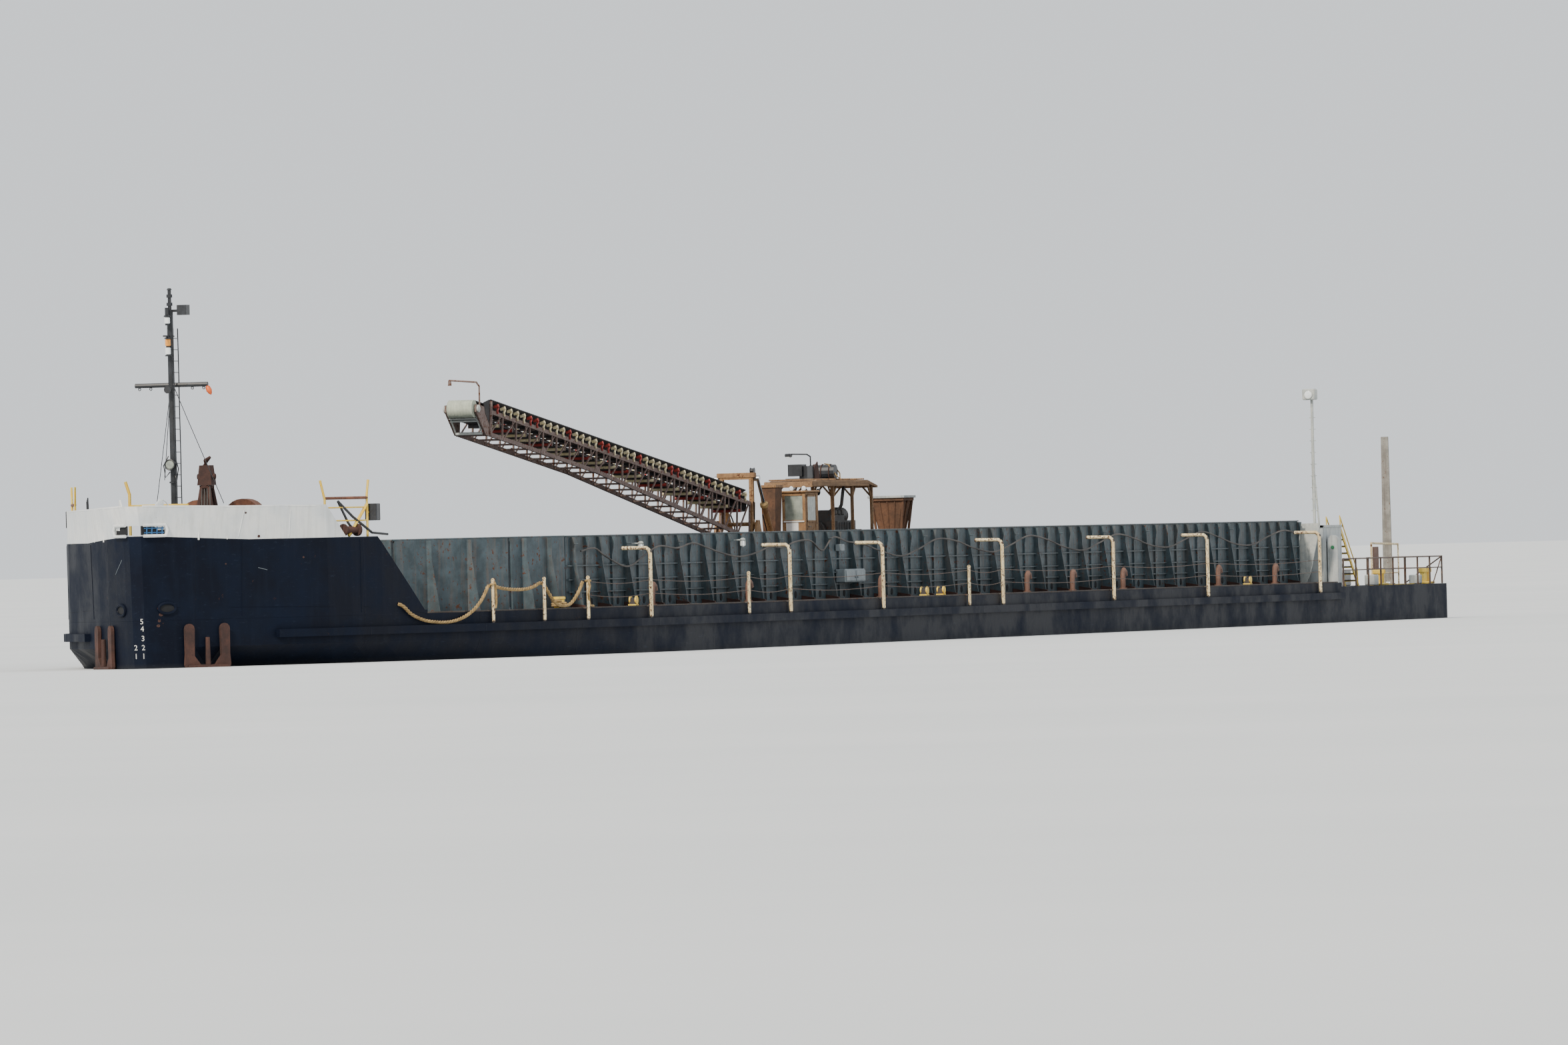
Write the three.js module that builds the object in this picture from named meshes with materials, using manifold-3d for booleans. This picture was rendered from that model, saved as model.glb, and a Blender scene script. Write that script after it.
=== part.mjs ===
// Pusher-notch deck barge with an open cargo bin and an unloading conveyor, as a 1:10 scale model.
// Millimetres. +X runs aft, +Y to starboard, +Z up. The origin is under the middle of the flat bottom.
// Every size is a tenth of the real barge's, so 100 mm here is 1 m of ship.
import * as THREE from 'three';
import { mergeVertices } from 'three/addons/utils/BufferGeometryUtils.js';
import Module from 'manifold-3d';

const wasm = await Module();
wasm.setup();

// Driving dimensions. A distance named "aft" is measured back from the stem at the waterline.
const HULL_LENGTH = 12283;     // stem at the waterline to transom
const STEM_OVERHANG = 52;      // how far the top of the bulwark reaches forward of it
const LENGTH = HULL_LENGTH + STEM_OVERHANG;
const HALF_BEAM = 884;
const DECK = 716;              // main deck above the flat bottom
const DRAFT = 566;             // waterline above the flat bottom
const BOW_LENGTH = 2700;       // where the sides become parallel
const KNUCKLE = 631;           // the bow flares inwards below this height
const FOREFOOT = 600;          // the stem rakes back to the flat bottom over this length
const FORECASTLE_DECK = 966;
const FORECASTLE_END = 784;
const FORECASTLE_SLOPE_END = 1030;
const WINCH_DECK = [940, 380];     // aft end and half breadth of the deck behind the forecastle's sides
const DECK_RAKE = 23;              // the stem at the forecastle deck, forward of the waterline
const RAKE_REACH = 800;            // the bow's lean fades out over this length
const STEM_SHEER = 17;             // rise of the forecastle deck at the stem
const SHEER_REACH = 280;
const BULWARK_TOP = 1071;
const BULWARK_END = [547, 644];    // aft end of its top and of its foot
const PLATE = 10;
const GAP = 0.3;               // clearance between pieces that touch
const WALL_TOP = 951;
const WALL_Y = 720;            // inside face of the straight bin walls
const BIN_FORE = 1230;
const BIN_FORE_HALF = 415;
const BIN_KNEE = [1700, 645];      // aft, y where the fore panels meet
const BIN_STRAIGHT = 2050;
const BIN_AFT = 10740;
const RIB_PITCH = 274;
const WING_DECK = 700;
const WING_START = 10790;
const NOTCH = [[11200, 330], [11560, 535], [HULL_LENGTH + 10, 550]];   // aft, half width
const STERN_RAKE = [11300, 330];   // where the stern's bottom starts to rise, and its height at the end

const at = (aft) => aft + STEM_OVERHANG - LENGTH / 2;

const PAINT = {
  hull: [0x252c39, 0.55], bulwark: [0xc9ced2, 0.55], wall: [0x44525b, 0.7], rust: [0x7a4a38, 0.85],
  black: [0x17191d, 0.5], yellow: [0xe0b636, 0.55], cream: [0xe0c79a, 0.6], boom: [0x6b5750, 0.75],
  belt: [0x26262a, 0.9], drum: [0xb4baa8, 0.8], ochre: [0xb07a44, 0.75], timber: [0x7d6048, 0.85],
  house: [0x98a0a2, 0.6], steel: [0xc8ccd0, 0.35], idler: [0xd8c79a, 0.7], hopper: [0x8a5a3a, 0.85],
  deck: [0x6a5549, 0.9], glass: [0x8fa3a8, 0.1],
};

// Geometry tools
function toSolid(geometry) {
  const bare = geometry.clone();
  bare.deleteAttribute('normal');
  bare.deleteAttribute('uv');
  const merged = mergeVertices(bare, 1e-4);
  return new wasm.Manifold(new wasm.Mesh({
    numProp: 3,
    vertProperties: new Float32Array(merged.attributes.position.array),
    triVerts: new Uint32Array(merged.index.array),
  }));
}

function toGeometry(solid) {
  const mesh = solid.getMesh();
  const geometry = new THREE.BufferGeometry();
  geometry.setAttribute('position', new THREE.BufferAttribute(new Float32Array(mesh.vertProperties), 3));
  geometry.setIndex(new THREE.BufferAttribute(new Uint32Array(mesh.triVerts), 1));
  geometry.computeVertexNormals();
  return geometry;
}

const unite = (solids) => solids.reduce((sum, next) => sum.add(next));

function box(x0, x1, y0, y1, z0, z1) {
  const geometry = new THREE.BoxGeometry(x1 - x0, y1 - y0, z1 - z0);
  return toSolid(geometry.translate((x0 + x1) / 2, (y0 + y1) / 2, (z0 + z1) / 2));
}

function outline(points) {
  return new THREE.Shape(points.map(([a, b]) => new THREE.Vector2(a, b)));
}

// Outline in X and Y, raised from z0 to z1.
function upright(points, z0, z1) {
  const geometry = new THREE.ExtrudeGeometry(outline(points), { depth: z1 - z0, bevelEnabled: false });
  return toSolid(geometry.translate(0, 0, z0));
}

// Outline in X and Z, spanning y0 to y1.
function sideways(points, y0, y1) {
  const geometry = new THREE.ExtrudeGeometry(outline(points), { depth: y1 - y0, bevelEnabled: false });
  return toSolid(geometry.rotateX(Math.PI / 2).translate(0, y1, 0));
}

// Outline in Y and Z, spanning x0 to x1.
function lengthways(points, x0, x1) {
  const geometry = new THREE.ExtrudeGeometry(outline(points), { depth: x1 - x0, bevelEnabled: false });
  const turn = new THREE.Matrix4().makeBasis(
    new THREE.Vector3(0, 1, 0), new THREE.Vector3(0, 0, 1), new THREE.Vector3(1, 0, 0));
  return toSolid(geometry.applyMatrix4(turn).translate(x0, 0, 0));
}

// Round bar between two points.
function bar(from, to, radius, sides = 6, radiusTo = radius) {
  const a = new THREE.Vector3(...from);
  const b = new THREE.Vector3(...to);
  const geometry = new THREE.CylinderGeometry(radiusTo, radius, a.distanceTo(b), sides);
  const way = b.clone().sub(a).normalize();
  geometry.applyQuaternion(new THREE.Quaternion().setFromUnitVectors(new THREE.Vector3(0, 1, 0), way));
  const middle = a.add(b).multiplyScalar(0.5);
  return toSolid(geometry.translate(middle.x, middle.y, middle.z));
}

// Tube along straight stretches, mitred at each bend.
function pipe(points, radius, sides = 6) {
  const path = points.map((point) => new THREE.Vector3(...point));
  const ways = path.slice(1).map((point, i) => point.clone().sub(path[i]).normalize());
  const across = new THREE.Vector3(0.31, 0.92, 0.24).cross(ways[0]).normalize();
  const turnAbout = (vector, way, part) => vector.clone().applyAxisAngle(way, part * Math.PI * 2);
  let spokes = Array.from({ length: sides }, (_, i) => turnAbout(across, ways[0], i / sides).multiplyScalar(radius));
  const rings = path.map((point, i) => {
    const before = ways[Math.max(i - 1, 0)];
    const after = ways[Math.min(i, ways.length - 1)];
    const mitre = before.clone().add(after).normalize();
    const onMitre = spokes.map((spoke) => spoke.clone().addScaledVector(before, -spoke.dot(mitre) / before.dot(mitre)));
    spokes = onMitre.map((spoke) => spoke.clone().addScaledVector(after, -spoke.dot(after)));
    return onMitre.map((spoke) => spoke.add(point).toArray());
  });
  return loft(rings);
}

// Closed skin over rings that all have the same number of points.
function loft(rings) {
  const count = rings[0].length;
  const vertices = rings.flat(2);
  const index = [];
  for (let i = 0; i < rings.length - 1; i += 1) {
    for (let j = 0; j < count; j += 1) {
      const a = i * count + j;
      const b = i * count + ((j + 1) % count);
      index.push(a, b, b + count, a, b + count, a + count);
    }
  }
  const last = (rings.length - 1) * count;
  for (let j = 1; j < count - 1; j += 1) {
    index.push(0, j + 1, j);
    index.push(last, last + j, last + j + 1);
  }
  const geometry = new THREE.BufferGeometry();
  geometry.setAttribute('position', new THREE.Float32BufferAttribute(vertices, 3));
  geometry.setIndex(index);
  return toSolid(geometry);
}

// Box whose top differs from its foot: each is [x0, x1, y0, y1, z].
function taperedBox(foot, top) {
  const ring = ([x0, x1, y0, y1, z]) => [[x0, y0, z], [x1, y0, z], [x1, y1, z], [x0, y1, z]];
  return loft([ring(foot), ring(top)]);
}

// Cuts a solid off flat at the height of what it stands on.
const standing = (solid, z) => solid.subtract(box(-LENGTH, LENGTH, -2 * HALF_BEAM, 2 * HALF_BEAM, z - 300, z));

const mirrored = (solid) => solid.mirror([0, 1, 0]);

const barge = new THREE.Group();
function addPiece(name, solid, paint, parent = barge) {
  const [color, roughness] = PAINT[paint];
  const metalness = paint === 'steel' ? 0.8 : 0.1;
  const material = new THREE.MeshStandardMaterial({ color, roughness, metalness });
  const mesh = new THREE.Mesh(toGeometry(solid), material);
  mesh.name = name;
  parent.add(mesh);
}

// One piece for each side of the ship. The builder makes the port one, at negative Y.
function addPair(name, portSolid, paint) {
  addPiece(`${name}_port`, portSolid, paint);
  addPiece(`${name}_starboard`, mirrored(portSolid), paint);
}

// Hull plan: half breadth of the deck at each distance aft, with straight facets between.
const BOW_PLAN = [[0, 20], [25, 48], [70, 93], [120, 140], [200, 202], [300, 270], [420, 350], [559, 437],
  [660, 481], [800, 533], [950, 580], [1190, 650], [1400, 705], [1700, 772], [2000, 825], [2350, 870],
  [BOW_LENGTH, HALF_BEAM]];
const BOW_STATIONS = BOW_PLAN.map(([aft]) => aft);

// Half breadth at a distance aft; low down the plan starts "shift" further aft and ends at "full".
function halfBreadth(aft, shift = 0, full = HALF_BEAM) {
  const run = (Math.max(aft - shift, 0) * BOW_LENGTH) / (BOW_LENGTH - shift);
  const next = BOW_PLAN.findIndex(([station]) => station > run);
  if (next < 0) {
    return full;
  }
  const [[a, halfA], [b, halfB]] = [BOW_PLAN[next - 1], BOW_PLAN[next]];
  return ((halfA + ((halfB - halfA) * (run - a)) / (b - a)) * full) / HALF_BEAM;
}

// Points of the deck edge between two stations, moved outwards by "offset". Port side, so Y is negative.
function deckEdge(aftFrom, aftTo, offset) {
  const reach = 12;
  const inside = BOW_STATIONS.filter((aft) => aft > aftFrom && aft < aftTo);
  return [aftFrom, ...inside, aftTo].map((aft) => {
    const [before, after] = [Math.max(aft - reach, 0), aft + reach];
    const slope = (halfBreadth(after) - halfBreadth(before)) / (after - before);
    const scale = 1 / Math.hypot(1, slope);
    return [at(aft) - offset * slope * scale, -(halfBreadth(aft) + offset * scale)];
  });
}

// The bow leans forward and rises towards the stem. Both fade out further aft.
function leaning([x, y, z]) {
  const aft = x - at(0);
  const above = Math.max(z - FORECASTLE_DECK, 0) / (BULWARK_TOP - FORECASTLE_DECK);
  const below = Math.min(Math.max((z - DRAFT) / (FORECASTLE_DECK - DRAFT), 0), 1);
  const rake = DECK_RAKE * below + (STEM_OVERHANG - DECK_RAKE) * above;
  const climb = Math.min(Math.max((z - DECK) / (FORECASTLE_DECK - DECK), 0), 1) - 0.6 * above;
  return [x - rake * Math.max(1 - aft / RAKE_REACH, 0), y,
    z + STEM_SHEER * climb * Math.max(1 - aft / SHEER_REACH, 0)];
}

function hullSolid() {
  // height, how far aft this level starts, full half breadth, half breadth kept beside the stem
  const levels = [[0, 1050, HALF_BEAM - 60, 0], [50, 950, HALF_BEAM - 12, 0], [101, 880, HALF_BEAM, 0],
    [505, 430, HALF_BEAM, 60], [DRAFT, 180, HALF_BEAM, 150], [KNUCKLE, 0, HALF_BEAM, 0], [DECK, 0, HALF_BEAM, 0]];
  const rings = [...BOW_STATIONS, HULL_LENGTH].map((aft) => {
    const keel = 0.9 * DRAFT * Math.max(1 - aft / FOREFOOT, 0) ** 2;
    const side = levels.map(([level, shift, full, kept]) => [
      Math.max(halfBreadth(aft, shift, full), Math.min(halfBreadth(aft), kept)),
      level >= DRAFT ? level : keel + ((DRAFT - keel) * level) / DRAFT]);
    const starboard = side.map(([y, z]) => leaning([at(aft), y, z]));
    const port = side.map(([y, z]) => leaning([at(aft), -y, z])).reverse();
    return [...starboard, ...port];
  });
  const notch = upright([...NOTCH.map(([aft, half]) => [at(aft), -half]),
    ...NOTCH.map(([aft, half]) => [at(aft), half]).reverse()], -10, DECK + 10);
  const step = box(at(WING_START), at(HULL_LENGTH) + 10, -HALF_BEAM - 10, HALF_BEAM + 10, WING_DECK, DECK + 10);
  const rake = sideways([[at(STERN_RAKE[0]), -10], [at(HULL_LENGTH) + 10, -10],
    [at(HULL_LENGTH) + 10, STERN_RAKE[1]], [at(STERN_RAKE[0]), 0]], -HALF_BEAM - 10, HALF_BEAM + 10);
  return loft(rings).subtract(notch).subtract(step).subtract(rake);
}

// Plan outline raised between two heights, which leans with the bow.
function leaningStrip(plan, z0, z1) {
  const geometry = new THREE.ExtrudeGeometry(outline(plan), { depth: z1 - z0, bevelEnabled: false });
  geometry.translate(0, 0, z0);
  const place = geometry.attributes.position;
  for (let i = 0; i < place.count; i += 1) {
    place.setXYZ(i, ...leaning([place.getX(i), place.getY(i), place.getZ(i)]));
  }
  return toSolid(geometry);
}

// Strip that follows the deck edge on both sides and closes round the stem.
function bowStrip(aftTo, thickness, z0, z1) {
  const outer = deckEdge(0, aftTo, 0);
  const inner = deckEdge(0, aftTo, -thickness).filter(([x]) => x > at(thickness + 2));
  const tip = [at(thickness), -thickness - 4];
  const port = [...outer.slice().reverse()];
  const flip = (points) => points.map(([x, y]) => [x, -y]);
  const plan = [...port, ...flip(outer), ...flip(inner).reverse(), ...flip([tip]), tip, ...inner];
  return leaningStrip(plan, z0, z1);
}

function forecastleSolid() {
  const [foot, top] = [DECK + GAP, FORECASTLE_DECK];
  const stations = [...BOW_STATIONS.filter((aft) => aft < FORECASTLE_END), FORECASTLE_END];
  const block = loft(stations.map((aft) => {
    const half = halfBreadth(aft);
    return [[-half, foot], [half, foot], [half, top], [-half, top]].map(([y, z]) => leaning([at(aft), y, z]));
  }));
  const [deckEnd, deckHalf] = WINCH_DECK;
  const winchDeck = box(at(FORECASTLE_END) - 5, at(deckEnd), -deckHalf, deckHalf, foot, top);
  const outer = deckEdge(FORECASTLE_END - 5, FORECASTLE_SLOPE_END, 0);
  const inner = deckEdge(FORECASTLE_END - 5, FORECASTLE_SLOPE_END, -PLATE).reverse();
  const wing = upright([...outer, ...inner], foot, top);
  const above = sideways([[at(FORECASTLE_END), top], [at(FORECASTLE_END), top + 20],
    [at(FORECASTLE_SLOPE_END) + 40, top + 20], [at(FORECASTLE_SLOPE_END) + 40, DECK + 12],
    [at(FORECASTLE_SLOPE_END) - 14, DECK + 12]], -HALF_BEAM, HALF_BEAM);
  return unite([block, unite([wing, mirrored(wing)]).subtract(above), winchDeck]);
}

function bulwarkSolid() {
  const [topEnd, footEnd] = BULWARK_END;
  const foot = FORECASTLE_DECK + GAP;
  const strip = bowStrip(footEnd, PLATE, foot, BULWARK_TOP);
  const slope = sideways([[at(topEnd), BULWARK_TOP + 1], [at(footEnd) + 20, BULWARK_TOP + 1],
    [at(footEnd) + 20, foot - 1], [at(footEnd) - 6, foot - 1]], -HALF_BEAM, HALF_BEAM);
  const lead = { half: 62, low: foot + STEM_SHEER + 3, high: foot + STEM_SHEER + 33, corner: 8 };
  const mouth = [[-lead.half, lead.low], [lead.half, lead.low], [lead.half, lead.high - lead.corner],
    [lead.half - lead.corner, lead.high], [lead.corner - lead.half, lead.high], [-lead.half, lead.high - lead.corner]];
  return strip.subtract(slope).subtract(lengthways(mouth, at(-STEM_OVERHANG) - 10, at(72)));
}

function rubRail(start) {
  const [end, foot, top, proud] = [10780, 654, 679, 18];
  const outer = deckEdge(start, BOW_LENGTH, proud).concat([[at(end), -HALF_BEAM - proud]]);
  const inner = deckEdge(start, BOW_LENGTH, GAP).concat([[at(end), -HALF_BEAM - GAP]]);
  return leaningStrip([...outer, ...inner.reverse()], foot, top);
}

// Bin walls: a plate with deep webs and slim stiffeners outside, in turn.
// Each profile is [out from the plate, height].
const WEB = { thick: 4, profile: [[-3, DECK + 1], [42, DECK + 1], [16, 886], [16, WALL_TOP - 2], [-3, WALL_TOP - 2]] };
const STIFFENER = { thick: 4, profile: [[-3, DECK + 1], [7, DECK + 1], [7, 888], [18, WALL_TOP - 2], [-3, WALL_TOP - 2]] };
const RIB_DEPTH = 24;           // ribs of the cross walls
const outwards = (shape, face, aft) => lengthways(shape.profile.map(([out, z]) => [face - out, z]), at(aft), at(aft) + shape.thick);

function sideWall() {
  const face = -WALL_Y - PLATE;
  const parts = [box(at(BIN_STRAIGHT), at(BIN_AFT), face, -WALL_Y, DECK + GAP, WALL_TOP)];
  for (let aft = BIN_STRAIGHT + 50; aft < BIN_AFT - 60; aft += RIB_PITCH) {
    parts.push(outwards(WEB, face, aft), outwards(STIFFENER, face, aft + RIB_PITCH / 2));
  }
  return unite(parts);
}

// Wall panel in plan between two aft, y places, with webs that stand square to the ship's centre line.
function angledWall(from, to, webs) {
  const [ax, ay] = [at(from[0]), -from[1]];
  const [bx, by] = [at(to[0]), -to[1]];
  const run = Math.hypot(bx - ax, by - ay);
  const [ux, uy] = [(bx - ax) / run, (by - ay) / run];
  const spot = (along, out) => [ax + ux * along + uy * out, ay + uy * along - ux * out];
  const plate = upright([spot(0, 0), spot(run, 0), spot(run, PLATE), spot(0, PLATE)], DECK + GAP, WALL_TOP);
  const faceAt = (aft) => ay + ((at(aft) - ax) * uy) / ux - PLATE / ux;
  return unite([plate, ...webs.map((aft) => outwards(WEB, faceAt(aft + WEB.thick) + 1, aft))]);
}

function crossWall(aft, half, outwards) {
  const x0 = at(aft);
  const parts = [box(x0, x0 + PLATE, -half, half, DECK + GAP, WALL_TOP)];
  const count = Math.round((2 * half - 120) / (RIB_PITCH / 2));
  for (let i = 0; i <= count; i += 1) {
    const y = (half - 60) * ((2 * i) / count - 1);
    const near = outwards > 0 ? x0 + PLATE - 1 : x0 - RIB_DEPTH;
    parts.push(box(near, near + RIB_DEPTH + 1, y - 2, y + 2, DECK + GAP, WALL_TOP - 2));
  }
  return unite(parts);
}

// Side deck plate with its lamp posts, rail posts, vents and bitts.
const LAMP_POSTS = [2465, 3934, 4978, 6382, 7747, 8957, 10465];
const RAIL_POSTS = [1376, 1685, 1976, 3480, 5980];
const VENTS = [2694, 3721, 5205, 6940, 7498, 8134, 9369, 10127];
const DECK_BITTS = [2417, 5627, 5822, 9672];
const MOORING_BITT = { aft: 1861, y: -768, apart: 26, radius: 9 };
const POST_OUT = 9;            // the posts stand on the rub rail, outside the deck edge
const POST_FOOT = 679 + GAP;
function sideDeck() {
  const edge = deckEdge(1240, BOW_LENGTH, -6).concat([[at(10760), -HALF_BEAM + 6]]);
  const inside = [[at(10760), -776], [at(2060), -776], [at(1710), -708], [at(1240), -488]];
  const top = DECK + GAP + 4;
  const parts = [upright([...edge, ...inside], DECK + GAP, top)];
  const postY = (aft) => -(halfBreadth(aft) + POST_OUT);
  const bracket = (aft) => box(at(aft) - 5, at(aft) + 5, postY(aft), postY(aft) + 22, DECK + GAP, top + 1);
  LAMP_POSTS.forEach((aft) => {
    const y = postY(aft);
    parts.push(pipe([[at(aft), y, POST_FOOT], [at(aft), y, 896], [at(aft), y + 14, 908], [at(aft), y + 100, 909]], 6),
      bracket(aft));
  });
  RAIL_POSTS.forEach((aft) => {
    parts.push(bar([at(aft), postY(aft), POST_FOOT], [at(aft), postY(aft), 817], 5, 8), bracket(aft));
  });
  const bitt = MOORING_BITT;
  [-bitt.apart, bitt.apart].forEach((dx) => {
    const x = at(bitt.aft) + dx;
    parts.push(bar([x, bitt.y, top - 2], [x, bitt.y, 752], bitt.radius, 10), bar([x, bitt.y, 748], [x, bitt.y, 754], 12, 10));
  });
  VENTS.forEach((aft) => {
    const x = at(aft);
    parts.push(pipe([[x, -812, top - 2], [x, -812, 768], [x + 12, -812, 778], [x + 24, -812, 764]], 7));
  });
  DECK_BITTS.forEach((aft) => parts.push(box(at(aft) - 13, at(aft) + 13, -848, -828, top - 2, top + 22)));
  return standing(unite(parts), POST_FOOT);
}

// Stockless anchor, hung flat against the bow's side: two flukes with round tips, crown and shank.
function anchorSolid() {
  const tip = arc([-65, 119], 17, 0, 180, 6);
  const fluke = sideways([[-14, -12], [-30, 10], [-50, 34], ...tip, [-81, 40], [-84, 6], [-73, -16]], 6, 17);
  const local = unite([
    fluke, fluke.mirror([1, 0, 0]),
    bar([0, 15, -6], [0, 15, 93], 9, 10, 7),
    bar([-34, 15, -4], [34, 15, -4], 11, 10),
    box(-74, 74, 5, 26, -18, 6),
  ]);
  const [aftA, aftB] = [79, 229];
  const [ax, ay] = [at(aftA), -halfBreadth(aftA)];
  const [bx, by] = [at(aftB), -halfBreadth(aftB)];
  const turn = Math.atan2(by - ay, bx - ax);
  const place = new THREE.Matrix4().makeRotationZ(turn + Math.PI);
  const outwards = 2;        // the side bulges past the line between its two ends
  place.setPosition((ax + bx) / 2 + outwards * Math.sin(turn), (ay + by) / 2 - outwards * Math.cos(turn), DRAFT + 2);
  return local.transform(place.elements);
}

// Foredeck
function mastSolid() {
  const x = at(350);
  const foot = FORECASTLE_DECK + GAP;
  return unite([
    bar([x, 0, foot], [x, 0, 1700], 11, 12, 10),
    bar([x, 0, foot], [x, 0, foot + 8], 20, 12),
    bar([x, -122, 1461], [x, 122, 1461], 7.3, 8),
    bar([x, 0, 1695], [x, 0, 1762], 6, 8, 6),
    bar([x, 0, 1712], [x, 0, 1722], 10, 8),
    bar([x, 0, 1738], [x, 0, 1748], 10, 8),
    box(x - 6, x + 26, -58, -26, 1682, 1714),
    box(x - 4, x + 4, -30, 0, 1692, 1700),
    box(x - 30, x, -3, 3, 1668, 1674),
    bar([x - 26, 0, 1650], [x - 26, 0, 1706], 7, 8),
    box(x - 28, x, -3, 3, 1575, 1581),
    bar([x - 24, 0, 1556], [x - 24, 0, 1608], 6.5, 8),
    bar([x - 34, 0, 1208], [x - 12, 0, 1208], 17, 14, 14),
    box(x - 14, x, -3, 3, 1203, 1213),
  ]);
}

// Ladder on the mast's port side, its rungs fore and aft.
function mastLadder() {
  const foot = FORECASTLE_DECK + GAP;
  const [y, fore, aft, top, yard] = [-17, at(328), at(372), 1640, 1461];
  const parts = [bar([fore, y, foot], [fore, y, top], 2, 4), bar([aft, y, foot], [aft, y, top], 2, 4)];
  for (let z = foot + 30; z < top - 8; z += 36) {
    if (Math.abs(z - yard) > 10) {
      parts.push(box(fore, aft, y - 1.2, y + 1.2, z - 1.2, z + 1.2));
    }
  }
  return unite(parts);
}

function winchHood() {
  const [y, radius, axle, foot] = [-75.5, 64, 1033, FORECASTLE_DECK + GAP];
  const arch = [[y + radius, foot], [y + radius, axle]];
  for (let i = 1; i < 12; i += 1) {
    const turn = (Math.PI * i) / 12;
    arch.push([y + radius * Math.cos(turn), axle + radius * Math.sin(turn)]);
  }
  arch.push([y - radius, axle], [y - radius, foot]);
  return lengthways(arch, at(770), at(830));
}

function windlassBed() {
  const foot = FORECASTLE_DECK + GAP;
  return unite([box(at(868), at(930), -150, 150, foot, foot + 14), box(at(872), at(926), -60, 60, foot + 10, foot + 90),
    bar([at(899), -140, foot + 50], [at(899), 140, foot + 50], 16, 10),
    box(at(880), at(918), -146, -134, foot + 10, foot + 74), box(at(880), at(918), 134, 146, foot + 10, foot + 74)]);
}

function pedestalStand() {
  const foot = FORECASTLE_DECK + GAP;
  const parts = [bar([at(655), 0, 1134], [at(655), 0, 1142], 24, 12), bar([at(655), 0, foot], [at(655), 0, 1136], 9, 8)];
  [[-40, -34], [40, -34], [-40, 34], [40, 34]].forEach(([dx, dy]) => {
    parts.push(bar([at(655) + dx, dy, foot], [at(655) + dx * 0.35, dy * 0.35, 1136], 9, 8, 7));
  });
  return standing(unite(parts), foot);
}

function pedestalHead() {
  const x = at(655);
  const foot = 1142 + GAP;
  return unite([
    taperedBox([x - 24, x + 24, -24, 24, foot], [x - 18, x + 18, -18, 18, 1206]),
    bar([x, -30, 1170], [x, 30, 1170], 9, 10),
    bar([x, 0, 1200], [x - 16, 0, 1222], 4, 8),
    bar([x, 12, 1200], [x, -14, 1232], 4, 8),
    bar([x, -14, 1232], [x - 16, 0, 1222], 4, 8),
  ]);
}

// Yellow gate at the bulwark's end: two bent posts with rungs, a roller and a floodlight.
function deckGate() {
  const foot = FORECASTLE_DECK + GAP;
  const [a, b] = [[at(583), -422], [at(765), -500]];
  const mix = (part, z) => [a[0] + (b[0] - a[0]) * part, a[1] + (b[1] - a[1]) * part, z];
  return standing(unite([
    pipe([mix(0, foot), mix(0, 1086), mix(-0.1, 1147)], 4),
    pipe([mix(1, foot), mix(1, 1100), mix(1.04, 1147)], 4),
    bar(mix(0, 1090), mix(1, 1090), 3.4),
    bar(mix(0, 1060), mix(1, 1060), 2.4),
    bar(mix(0, 1018), mix(1, 1018), 2.4),
    bar(mix(1, 1070), mix(0.55, foot + 2), 5),
    bar(mix(0.62, 986), [mix(0.62, 986)[0], mix(0.62, 986)[1] + 20, 986], 13, 12),
    bar(mix(1, 1044), [b[0] + 22, b[1], 1044], 3),
    box(b[0] + 15, b[0] + 46, b[1] - 25, b[1] + 9, 1020, 1068),
  ]), foot);
}

function bowRail() {
  const foot = FORECASTLE_DECK + GAP;
  const x = at(298);
  return standing(unite([
    pipe([[x, 132, foot], [x, 132, 1118], [x - 6, 143, 1158]], 5),
    bar([x, -62, foot], [x, -62, 1084], 4.5),
    bar([x, -62, 1080], [x, 132, 1080], 4),
    bar([x, -62, 1030], [x, 132, 1030], 3),
  ]), foot);
}

// Stern
function endBracket() {
  const foot = DECK + GAP;
  return lengthways([[-732, foot], [-752, foot], [-770, foot + 40], [-808, WALL_TOP - 30], [-808, WALL_TOP - 8],
    [-732, WALL_TOP - 8]], at(10764), at(10772));
}

function sternHouse() {
  const foot = WING_DECK + GAP;
  return box(at(10840), at(11100), -800, 800, foot, 931);
}

function floodMast() {
  const foot = 931 + GAP;
  const [x, y] = [at(10863), -764];
  return standing(unite([
    bar([x, y, foot], [x, y, 1420], 4.5, 8, 4),
    bar([x + 6, y - 16, foot], [x + 2, y - 2, 1130], 3.6, 8),
    box(x - 24, x + 18, y - 16, y + 30, 1412, 1450),
  ]), foot);
}

function wingRail() {
  const foot = WING_DECK + GAP;
  const y = -872;
  const [start, end, top] = [10860, 12262, foot + 105];
  const parts = [bar([at(start), y, top], [at(end), y, top], 2.6, 4), bar([at(start), y, foot + 62], [at(end), y, foot + 62], 2, 4),
    bar([at(end), y, top], [at(end), -570, top], 2.6, 4), bar([at(end), y, foot + 62], [at(end), -570, foot + 62], 2, 4)];
  const count = 8;
  for (let i = 0; i <= count; i += 1) {
    const x = at(start) + ((end - start) * i) / count;
    parts.push(bar([x, y, foot], [x, y, top + 1], 2.6, 4));
  }
  [-722, -572].forEach((rail) => parts.push(bar([at(end), rail, foot], [at(end), rail, top + 1], 2.6, 4)));
  parts.push(bar([at(end), y, top], [at(end) - 130, y, foot + 3], 2.6, 4));
  parts.push(bar([at(end), y, top], [at(end), -722, foot + 3], 2.6, 4));
  return standing(unite(parts), foot);
}

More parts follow.
